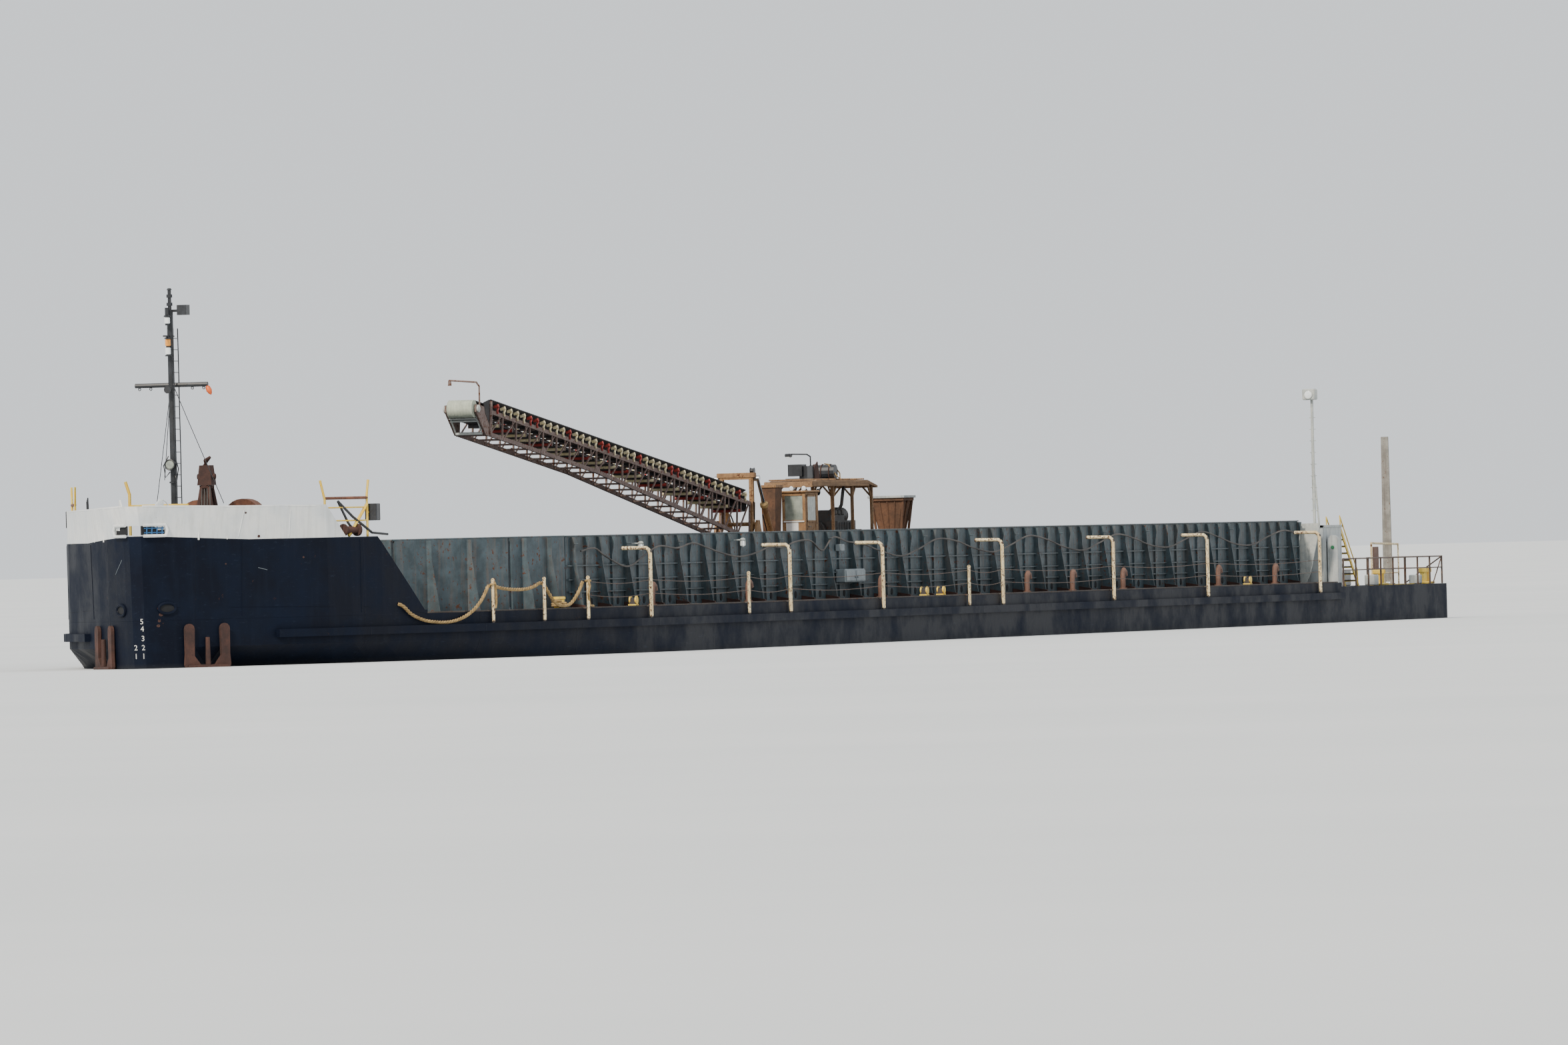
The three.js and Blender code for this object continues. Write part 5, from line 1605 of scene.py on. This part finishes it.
@dataclass
class Boom:
    """Drum, rollers, motor and braces of the unloading boom.

    Attributes:
        foot: Distance aft and height of the boom's pin line.
        slope: Its angle at rest, degrees.
        drum: Distance along the boom and height over its pin line of the head drum's axis.
        rollers: First and last idler along the boom, and their pitch.
        reds: Which idlers, counted from the head, are red.
    """

    foot: tuple[float, float] = (6110, 985)
    slope: float = 6.5
    drum: tuple[float, float] = (2961, 68)
    rollers: Place = (70, 2816, 69)
    reds: tuple[int, ...] = (0, 5, 6, 11, 16, 17, 22, 27, 28, 33, 38)

    def on(self, along: float, up: float, across: float = 0) -> Place:
        """Place in mm from the distance along the boom, over its pin line and to starboard."""
        turn = math.radians(self.slope)
        return (
            self.foot[0] - along * math.cos(turn) + up * math.sin(turn), across,
            self.foot[1] + along * math.sin(turn) + up * math.cos(turn),
        )

    def head(self) -> None:
        """Adds the pale belt over the drum, its bearings, braces, motor and side boards."""
        along, up = self.drum
        profile = [(0, 27)]
        for band in range(8):
            start = 1 + band * 11
            profile += [
                (start, 29.5), (start + 8, 29.5), (start + 8.6, 30), (start + 10.2, 30), (start + 10.8, 29.5)
            ]
        profile.append((90, 27))
        Bench.fuse(
            "head_drum_belt", [Bench.turned(profile, self.on(along, up, -45), self.on(along, up, 45), 32)],
            LAGGING, Body.BOOM,
        )
        pale = [
            Bench.turned([(0, 13), (5, 13), (8, 8)], self.on(along, up, y), self.on(along, up, y * 2), 14)
            for y in (-56, 56)
        ]
        pale += [Bench.rod(self.on(2884, -6, y), self.on(2952, 46, y), 2.6, 6) for y in (-46, 46)]
        pale += [
            Bench.rod(self.on(2884, -6, -46), self.on(2884, -6, 46), 5, 8),
            Bench.rod(self.on(2930, 30, -50), self.on(2930, 30, 50), 3, 8),
            Bench.plate(
                [
                    self.on(2900, 34, -46), self.on(2960, 34, -46), self.on(2960, 36, -46),
                    self.on(2900, 36, -46),
                ], (0, 92, 0),
            ),
        ]
        Bench.fuse("head_braces", pale, GALVANISED, Body.BOOM)
        dark = [Bench.block(self.on(2906, 8, -44), self.on(2880, 24, -22), 2),
                Bench.turned([(0, 6), (22, 6)], self.on(2890, 18, -22), self.on(2890, 18, 0), 12)]
        for y in (-57, 54):
            dark.append(
                Bench.plate(
                    [
                        self.on(2842, 30, y), self.on(2884, 62, y), self.on(2900, 96, y),
                        self.on(2842, 112, y),
                    ], (0, 3, 0),
                )
            )
        Bench.fuse("head_side_boards", dark, BELT, Body.BOOM)
        posts = [Bench.rod(self.on(2832, -8, y), self.on(2832, 108, y), 6, 6) for y in (-58, 58)]
        gussets = [
            Bench.plate(
                [
                    self.on(s - 40, -9, -57), self.on(s + 40, -9, -57), self.on(s + 14, 16, -57),
                    self.on(s - 14, 16, -57),
                ], (0, 2, 0),
            ) for s in (1700, 2270)
        ]
        Bench.fuse("boom_end_posts", posts + gussets + Bench.mirrored(gussets), BOOM, Body.BOOM)

    def idlers(self) -> None:
        """Adds the painted roller brackets beside the belt and the return rollers inside the truss."""
        first, last, pitch = self.rollers
        stations = steps(first, last, pitch)
        groups = {"cream": [], "red": []}
        for count, along in enumerate(reversed(stations)):
            tone = "red" if count in self.reds else "cream"
            for y in (-56, 56):
                groups[tone] += [
                    Bench.tube(
                        [
                            self.on(along, 74, y * 1.05), self.on(along + 6, 83, y * 1.05),
                            self.on(along - 4, 94, y * 1.05), self.on(along + 3, 103, y * 1.05),
                        ], 3.8, 6,
                    ), Bench.rod(self.on(along, 101, y * 1.1), self.on(along, 96, y * 0.8), 6, 10),
                ]
        returns = []
        for count, along in enumerate(steps(first + 40, last - 60, pitch * 2)):
            groups["red" if count % 3 == 0 else "cream"].append(
                Bench.rod(self.on(along, 36, -52), self.on(along, 36, 52), 6, 8)
            )
            returns.append(Bench.rod(self.on(along, 30, -54), self.on(along, 78, -54), 2.4, 6))
            returns.append(Bench.rod(self.on(along, 30, 54), self.on(along, 78, 54), 2.4, 6))
        wings = [
            Bench.plate(
                [
                    self.on(62, 99, y * 0.6), self.on(62, 112, y), self.on(62, 115, y),
                    self.on(62, 102, y * 0.6),
                ], [(a - b) for a, b in zip(self.on(2830, 0), self.on(62, 0))],
            ) for y in (-56, 56)
        ]
        Bench.fuse("belt_edges", wings, BELT, Body.BOOM)
        Bench.fuse("idler_brackets_cream", groups["cream"], IDLER, Body.BOOM)
        Bench.fuse("idler_brackets_red", groups["red"], IDLER_RED, Body.BOOM)
        Bench.fuse("return_roller_hangers", returns, BOOM, Body.BOOM)

    def portal(self) -> None:
        """Adds the head beam over the boom's foot, its roller and the luffing gear's packing and hoses."""
        beam = [
            Bench.block((6120, -70, 1148), (6144, 70, 1166), 2),
            Bench.block((6124, -62, 1000), (6140, -56, 1150), 1),
            Bench.block((6124, 56, 1000), (6140, 62, 1150), 1),
        ]
        Bench.fuse("portal_beam", beam, OCHRE, Body.BOOM)
        Bench.fuse(
            "portal_sheave",
            [Bench.turned([(0, 12), (3, 9), (11, 9), (14, 12)], (6132, -66, 1172), (6132, 40, 1172), 14)],
            BLACK, Body.BOOM,
        )
        packing, hoses = [], []
        for side in Side:
            y = side.value * 74
            packing.append(
                Bench.turned([(0, 12), (3, 15), (14, 15), (18, 11)], (6216, y, 1045), (6204, y, 1061.4), 12)
            )
            hoses.append(
                Bench.tube(
                    [
                        (6290, y - side.value * 14, 950), (6268, y - side.value * 17, 985),
                        (6238, y - side.value * 15, 1018),
                    ], 2.6, 6,
                )
            )
        Bench.fuse("cylinder_packing", packing, MANILA, Body.BARRELS)
        Bench.fuse("cylinder_hoses", hoses, BLACK, Body.BARRELS)

    def build(self) -> None:
        """Adds every piece of the boom."""
        self.head()
        self.idlers()
        self.portal()


@dataclass
class PowerHouse:
    """Cab, canopy, engine and hopper on the conveyor's platform.

    Attributes:
        top: Height of the platform.
    """

    top: float = 896

    def cab(self) -> None:
        """Glazes the cab, and gives it a panel, a seat and levers."""
        panes = [
            Bench.block((6512, -120, 996), (6514, -54, 1082)),
            Bench.block((6530, -48, 1000), (6640, -46, 1078)),
            Bench.block((6656, -116, 1000), (6658, -58, 1078)),
        ]
        Bench.fuse("cab_panes", panes, PANE)
        Bench.fuse(
            "cab_lower_panel",
            [
                Bench.block((6508, -104, 930), (6512, -58, 986), 1),
                Bench.block((6506, -126, 988), (6511, -50, 993), 1),
            ], BULWARK,
        )
        inside = [
            Bench.block((6560, -112, 902), (6610, -68, 950), 5),
            Bench.block((6604, -112, 950), (6618, -68, 1024), 5),
            Bench.block((6522, -116, 902), (6540, -60, 975), 3),
            Bench.rod((6532, -100, 975), (6540, -98, 1006), 1.6, 6),
            Bench.rod((6532, -84, 975), (6540, -82, 1002), 1.6, 6),
        ]
        Bench.fuse("cab_seat_and_levers", inside, ENGINE)
        Bench.fuse("cab_roof_lip", [Bench.block((6502, -136, 1092), (6668, -38, 1100), 3)], OCHRE)

    def door(self) -> None:
        """Adds the door's pane, frame strips and handle, all of which swing with it."""
        low, high = extent("cab_door")
        y, fore, aft = low[1], low[0] + 4, high[0] - 4
        frame_bars = [
            Bench.block((fore, y - 1.5, up), (aft, y + 1, up + 6)) for up in (low[2] + 1, 988, high[2] - 7)
        ]
        frame_bars += [
            Bench.block((edge, y - 1.5, low[2] + 1), (edge + 6, y + 1, high[2] - 1))
            for edge in (fore, aft - 6)
        ]
        Bench.fuse("cab_door_frame", frame_bars, OCHRE, Body.DOOR)
        Bench.fuse(
            "cab_door_pane", [Bench.block((low[0] + 6, y - 1, 994), (high[0] - 6, y + 0.5, high[2] - 6))],
            PANE, Body.DOOR,
        )
        Bench.fuse(
            "cab_door_handle",
            [
                Bench.tube(
                    [
                        (low[0] + 12, y - 2, 972), (low[0] + 12, y - 7, 972), (low[0] + 30, y - 7, 972),
                        (low[0] + 30, y - 2, 972),
                    ], 1.6, 6,
                )
            ], BLACK, Body.DOOR,
        )

    def canopy(self) -> None:
        """Adds the work lamps, the fascia boards, roof battens and the gear lashed on the roof."""
        cases, glass = [], []
        for across in (-12, -58, 40):
            cases.append(
                Bench.turned([(0, 9), (8, 8), (14, 4)], (6723, across, 1108), (6760, across, 1112), 14)
            )
            cases.append(Bench.rod((6730, across, 1112), (6734, across, 1128), 2, 6))
            glass.append(
                Bench.turned([(0, 6), (2, 8.6), (3, 8.6)], (6721, across, 1108), (6730, across, 1109), 14)
            )
        cases.append(Bench.block((6928 - 14, 50, 1222), (6928 + 14, 72, 1234), 3))
        cases.append(
            Bench.turned([(0, 3), (8, 8), (20, 8), (24, 3)], (6800, -88, 1082), (6800, -88, 1120), 10)
        )
        glass.append(Bench.block((6916, 54, 1219), (6940, 68, 1223), 1))
        Bench.fuse("canopy_lamp_cases", cases, BLACK)
        Bench.fuse("canopy_lamp_glass", glass, GLASS)
        boards = [
            Bench.block((6728, -90, 1114), (7400, -86, 1134), 1),
            Bench.block((6728, 86, 1114), (7400, 90, 1134), 1),
            Bench.block((6724, -90, 1112), (6728, 90, 1132), 1),
        ]
        batten = Bench.block((6760, -84, 1137), (6772, 84, 1142), 1)
        boards += Bench.copies(batten, [(84 * i, 0, 0) for i in range(1, 8)])
        Bench.fuse("canopy_boards", boards, CANOPY)
        straps = [Bench.ring((7090, across, 1165), (0, 1, 0), 28.5, 2, 20) for across in (-44, -14, 18)]
        straps += [
            Bench.plate(
                [(6900, -44, 1140), (6900, -44, 1186), (6940, -44, 1204), (6960, -44, 1140)], (0, 4, 0), 0.8,
            )
        ]
        Bench.fuse("roof_straps", straps, RUST)
        loop = [
            Bench.tube(
                [
                    (7090, -20, 1196), (7110, -50, 1190), (7122, -68, 1160), (7110, -72, 1142),
                    (7080, -70, 1150), (7070, -40, 1194),
                ], 2.4, 6,
            )
        ]
        Bench.fuse("roof_rope_loop", loop, MANILA)

    def engine(self) -> None:
        """Adds cylinder heads, exhaust, radiator fins, fan guard and tank to the engine block."""
        parts = []
        head = Bench.block((7092, -44, 1012), (7118, 44, 1030), 3)
        parts += Bench.copies(head, [(40 * i, 0, 0) for i in range(1, 4)])
        fin = Bench.block((7055, -60, 904), (7058, 60, 990))
        parts += Bench.copies(fin, [(7 * i, 0, 0) for i in range(1, 8)])
        parts += [
            Bench.ring((7036, 0, 956), (1, 0, 0), 32, 2, 24),
            Bench.ring((7036, 0, 956), (1, 0, 0), 20, 1.4, 20),
            Bench.tube([(7200, -30, 1020), (7200, -46, 1048), (7204, -52, 1100), (7210, -54, 1112)], 6, 10),
            Bench.turned([(0, 26), (3, 30), (70, 30), (73, 26)], (7262, 0, 1010), (7340, 0, 1010), 18),
        ]
        parts += [
            Bench.tube(
                [(7120 + 30 * i, -57, 930), (7120 + 30 * i, -63, 950), (7130 + 30 * i, -60, 985)], 2.4, 6,
            ) for i in range(6)
        ]
        Bench.fuse("engine_fittings", parts, ENGINE)
        crates = [
            Bench.block((7370, -50, self.top + 1), (7430, 30, 960), 3),
            Bench.block((7650, -70, self.top + 1), (7730, 10, 950), 3),
            Bench.turned(
                [(0, 26), (4, 28), (60, 28), (64, 26)], (7560, 40, self.top + 1), (7560, 40, 980), 18,
            ),
        ]
        Bench.fuse("platform_crates_and_drum", crates, RUST)

    def hopper(self) -> None:
        """Adds the hopper's grey lip, its slanted ribs and the platform's edge beam."""
        lip = [
            Bench.block((7880, -70, 1070), (8020, -60, 1079), 1),
            Bench.block((7880, 60, 1070), (8020, 70, 1079), 1),
            Bench.block((7880, -60, 1070), (7890, 60, 1079), 1),
            Bench.block((8010, -60, 1070), (8020, 60, 1079), 1),
        ]
        Bench.fuse("hopper_lip", lip, HOUSE)
        ribs = [Bench.rod((aft_top, y, 1064), (aft_foot, y * 0.55, 930), 3.4, 6)
                for aft_top, aft_foot in ((7896, 7918), (7950, 7950), (8004, 7982)) for y in (-60, 60)]
        ribs += [Bench.rod((7892, y, 1064), (7914, y * 0.55, 930), 3.4, 6) for y in (-30, 0, 30)]
        Bench.fuse("hopper_ribs", ribs, HOPPER)
        Bench.fuse(
            "chute_rim",
            [
                Bench.block((6376, -66, 1112), (6464, -62, 1122), 1),
                Bench.block((6376, -6, 1112), (6464, -2, 1122), 1),
                Bench.block((6376, -62, 1112), (6380, -6, 1122), 1),
                Bench.block((6460, -62, 1112), (6464, -6, 1122), 1),
            ], OCHRE,
        )

    def build(self) -> None:
        """Adds every piece on the platform."""
        self.cab()
        self.door()
        self.canopy()
        self.engine()
        self.hopper()


@dataclass
class Stern:
    """Fittings on the stern house and on the two wings beside the notch.

    Attributes:
        house: Fore and aft end of the stern house.
        bitts: Distance aft of the double bitts.
    """

    house: tuple[float, float] = (10840, 11100)
    bitts: tuple[float, float] = (11545, 12205)

    def house_trim(self) -> None:
        """Adds portholes, a door and the roof's edge to the stern house."""
        rims, glass, middle = [], [], 850
        for across in (-600, -360, 360, 600):
            rims.append(Bench.ring((self.house[1] + 1, across, middle), (1, 0, 0), 17, 3, 20))
            glass.append(
                Bench.turned(
                    [(0, 15), (2, 15)], (self.house[1], across, middle),
                    (self.house[1] + 10, across, middle), 18,
                )
            )
        for side in Side:
            y = side.value * 800
            rims.append(Bench.ring((10960, y + side.value, middle), (0, 1, 0), 15, 3, 20))
            glass.append(
                Bench.turned(
                    [(0, 13), (2, 13)], (10960, y, middle), (10960, y + side.value * 10, middle), 18,
                )
            )
        Bench.fuse("stern_portholes", rims, GALVANISED)
        Bench.fuse("stern_porthole_glass", glass, PANE)
        door = [
            Bench.block((11099, -60, 712), (11105, 10, 900), 2),
            Bench.block((11103, -50, 724), (11108, 0, 806), 1),
            Bench.block((11103, -50, 814), (11108, 0, 890), 1),
            Bench.rod((11106, -6, 806), (11114, -6, 806), 3, 8),
        ]
        door += [Bench.block((10836, side * 790, 926), (11104, side * 804, 935), 1) for side in (-1, 1)]
        door += [
            Bench.block((11096, -804, 926), (11104, 804, 935), 1),
            Bench.block((10836, -804, 926), (10844, 804, 935), 1),
        ]
        door += [Bench.block((11099, 120 + 60 * i, 760), (11104, 160 + 60 * i, 800), 1) for i in range(2)]
        Bench.fuse("stern_house_trim", door, HOUSE)

    def flood_light(self) -> None:
        """Adds the floodlight's case and lens, its mast's rungs and the plank on the wing mast."""
        low, high = extent("flood_mast")
        x, y = 10863, -764
        top = high[2]
        Bench.fuse(
            "stern_flood_case",
            [
                Bench.block((x - 25, y - 18, top - 40), (x + 19, y + 31, top + 2), 4),
                Bench.ring((x - 26, y + 7, top - 19), (1, 0, 0), 16, 2.4, 20),
            ], GALVANISED,
        )
        Bench.fuse(
            "stern_flood_lens",
            [
                Bench.turned(
                    [(0, 15), (2, 14), (4, 8)], (x - 25, y + 7, top - 19), (x - 40, y + 7, top - 19), 20,
                )
            ], GLASS,
        )
        rungs = [
            Bench.rod((x, y - 12, up), (x, y + 12, up), 1.4, 6) for up in steps(low[2] + 60, top - 70, 44)
        ]
        rungs.append(
            Bench.tube(
                [
                    (x + 4, y + 4, top - 40), (x + 6, y + 6, 1300), (x + 5, y + 8, 1100),
                    (x + 6, y + 6, low[2] + 6),
                ], 1.6, 6,
            )
        )
        rungs.append(Bench.rod((x, y, low[2] + 4), (x, y, top - 40), 5.6, 10))
        Bench.fuse("stern_mast_rungs", rungs, GALVANISED)
        x, y = 11895, -758
        plank = Bench.plate(
            [(x - 3, y - 17, 712), (x - 3, y + 17, 712), (x - 3, y + 13, 1268), (x - 3, y - 13, 1268)],
            (6, 0, 0), 1,
        )
        Bench.fuse("wing_mast_plank", [plank], MAST_BROWN)

    def wings(self) -> None:
        """Adds treads, bitt caps, posts, panels, boxes and fenders on the wings."""
        caps, foot = [], WING_DECK + 1
        for aft in self.bitts:
            for step_aft in (-24, 24):
                caps.append(Bench.turned([(0, 13.6), (42, 13.6), (44, 18.6), (56, 18.6), (60, 14)],
                                         (aft + step_aft, -820, 702), (aft + step_aft, -820, 790), 18))
            caps.append(Bench.block((aft - 44, -847, foot), (aft + 44, -793, 709), 2))
        Bench.fuse("wing_bitt_caps", caps + Bench.mirrored(caps), YELLOW)
        Bench.fuse("wing_panel", [Bench.block((11590, -789, 742), (11660, -784, 848), 1)], VENT)
        boxes = [
            Bench.block((11410, -842, foot), (11462, -800, 742), 3),
            Bench.block((12040, -842, foot), (12082, -800, 736), 3),
            Bench.block((11700, -640, foot), (11790, -570, 760), 3),
        ]
        Bench.fuse("wing_boxes", boxes + Bench.mirrored(boxes), HOUSE)
        first, last, bays = 10860, 12262, 8
        posts = [
            Bench.rod(
                (first + (last - first) * i / bays, -872, foot),
                (first + (last - first) * i / bays, -872, 808), 3.6, 8,
            ) for i in range(bays + 1)
        ]
        Bench.fuse("wing_rail_posts", posts + Bench.mirrored(posts), RAIL)
        treads, foot_aft, head_aft, rise, count = [], 11341, 11104, 236, 9
        for i in range(1, count):
            up = WING_DECK + rise * i / count
            aft = foot_aft + (head_aft - foot_aft) * i / count
            treads.append(Bench.block((aft - 11, -792, up - 6), (aft + 11, -744, up - 2)))
        Bench.fuse("stern_stair_treads", treads, RAIL)
        rail = [
            Bench.tube(
                [(11108, -740, 928), (11106, -740, 966), (11332, -740, 762), (11338, -740, 706)], 2.4, 6,
            )
        ]
        Bench.fuse("stern_stair_handrail", rail, YELLOW)
        Bench.fuse(
            "locker_mark", [Bench.turned([(0, 7), (1, 7)], (10884.4, -825, 850), (10880, -825, 850), 14)],
            GREEN,
        )
        tyre = Bench.ring((12284, -640, 640), (1, 0, 0), 42, 15, 24)
        tyres = Bench.copies(tyre, [(0, -150, 0)])
        Bench.fuse("notch_tyre_fenders", tyres + Bench.mirrored(tyres), BELT)

    def build(self) -> None:
        """Adds every piece of the stern."""
        self.house_trim()
        self.flood_light()
        self.wings()


@dataclass
class Studio:
    """Floor at the waterline, soft daylight and the camera.

    Attributes:
        eye: Camera position, m.
        heading: Angle of the line of sight to starboard of aft, degrees.
        rise: Angle of the line of sight above level, degrees.
        roll: Turn of the camera about its line of sight, degrees, clockwise.
        lens: Focal length on a 36 mm sensor.
    """

    eye: tuple[float, float, float] = (-52.863, -17.129, 0.875)
    heading: float = 17.7805
    rise: float = 0.1162
    roll: float = 1.446
    lens: float = 362.95

    def camera(self) -> None:
        """Adds the camera at the photograph's place and angle."""
        turn, climb = math.radians(self.heading), math.radians(self.rise)
        ahead = Vector((math.cos(turn) * math.cos(climb), math.sin(turn) * math.cos(climb), math.sin(climb)))
        bpy.ops.object.camera_add(location=self.eye)
        camera = bpy.context.object
        level = ahead.to_track_quat("-Z", "Y").to_matrix()
        camera.matrix_world = (
            Matrix.Translation(Vector(self.eye))
            @ level.to_4x4()
            @ Matrix.Rotation(-math.radians(self.roll), 4, "Z")
        )
        camera.data.lens = self.lens
        camera.data.sensor_width = 36
        camera.data.clip_end = 2000
        bpy.context.scene.camera = camera

    def light(self) -> None:
        """Adds a soft sun ahead of the bow and a pale sky."""
        bpy.ops.object.light_add(
            type="SUN", rotation=Vector((-0.75, 0.15, 0.6)).to_track_quat("Z", "Y").to_euler(),
        )
        sun = bpy.context.object.data
        sun.energy = 4.0
        sun.angle = math.radians(7)
        sun.color = linear("#fff4e4")[:3]
        world = bpy.data.worlds.new("pale_sky")
        world.use_nodes = True
        world.node_tree.nodes["Background"].inputs[0].default_value = linear("#e9edf1")
        world.node_tree.nodes["Background"].inputs[1].default_value = 1.2
        bpy.context.scene.world = world

    def floor(self) -> None:
        """Adds the pale floor at the waterline."""
        Bench.clear()
        bpy.ops.mesh.primitive_plane_add(size=1600, location=(0, 0, WATERLINE / 1000))
        floor = bpy.context.object
        floor.name = "floor"
        floor.data.materials.append(
            Smooth(
                "matt_floor_paint", "", colour="#d9dcdd", second="#d3d7d8", patch=4000, roughness=1,
            ).material()
        )

    def build(self) -> None:
        """Adds camera, light and floor."""
        Bench.clear()
        self.camera()
        self.light()
        self.floor()
        log.info("studio ready")


def dress(finish: Finish, *nodes: str) -> None:
    """Gives CAD nodes a finish in place of their plain colour.

    Args:
        finish: The finish.
        nodes: Names of the nodes.
    """
    for name in nodes:
        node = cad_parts[name]
        node.data.materials.clear()
        node.data.materials.append(finish.material())
        log.info("%s is finished in %s", name, finish.name)


def pair(*names: str) -> list[str]:
    """Names of the port and starboard nodes of each given name."""
    return [f"{name}_{side.name.lower()}" for name in names for side in Side]


def main() -> None:
    """Builds the scene."""
    Studio().build()
    Cords().build()
    Bow().build()
    Foredeck().build()
    Bin().build()
    SideDecks().build()
    Boom().build()
    PowerHouse().build()
    Stern().build()
    dress(HULL, "hull", "forecastle", *pair("rub_rail"))
    dress(BULWARK, "bulwark")
    dress(RUST, *pair("anchor"), "pedestal_stand", "pedestal_head")
    dress(WINCH, *pair("winch_hood"), "windlass")
    dress(BIN, *pair("bin_wall", "bin_fore_panel", "bin_knee_panel"), "bin_wall_fore", "bin_wall_aft")
    dress(SIDE_DECK, *pair("side_deck"))
    dress(BLACK, "mast", "mast_ladder", "roof_gear")
    dress(YELLOW, *pair("deck_gate", "wing_bitts"), "bow_rail", "stern_stair")
    dress(GALVANISED, *pair("end_bracket"), "flood_mast")
    dress(HOUSE, "stern_house", "stern_locker")
    dress(CREAM, "wing_gantry")
    dress(MAST_BROWN, "wing_mast")
    dress(RAIL, *pair("wing_rail"))
    dress(OCHRE, "conveyor_stand", "turntable", "boom_portal", "cab", "cab_door", *pair("luff_barrel"))
    dress(BOOM, "boom_truss", "boom_head")
    dress(BELT, "boom_belt", "boom_idlers")
    dress(LAGGING, "head_drum")
    dress(ROD, *pair("luff_rod"))
    dress(CANOPY, "canopy")
    dress(ENGINE, "engine")
    dress(HOPPER, "hopper", "chute")


if __name__ == "__main__":
    logging.basicConfig(level=logging.INFO, format="%(name)s: %(message)s")
    main()
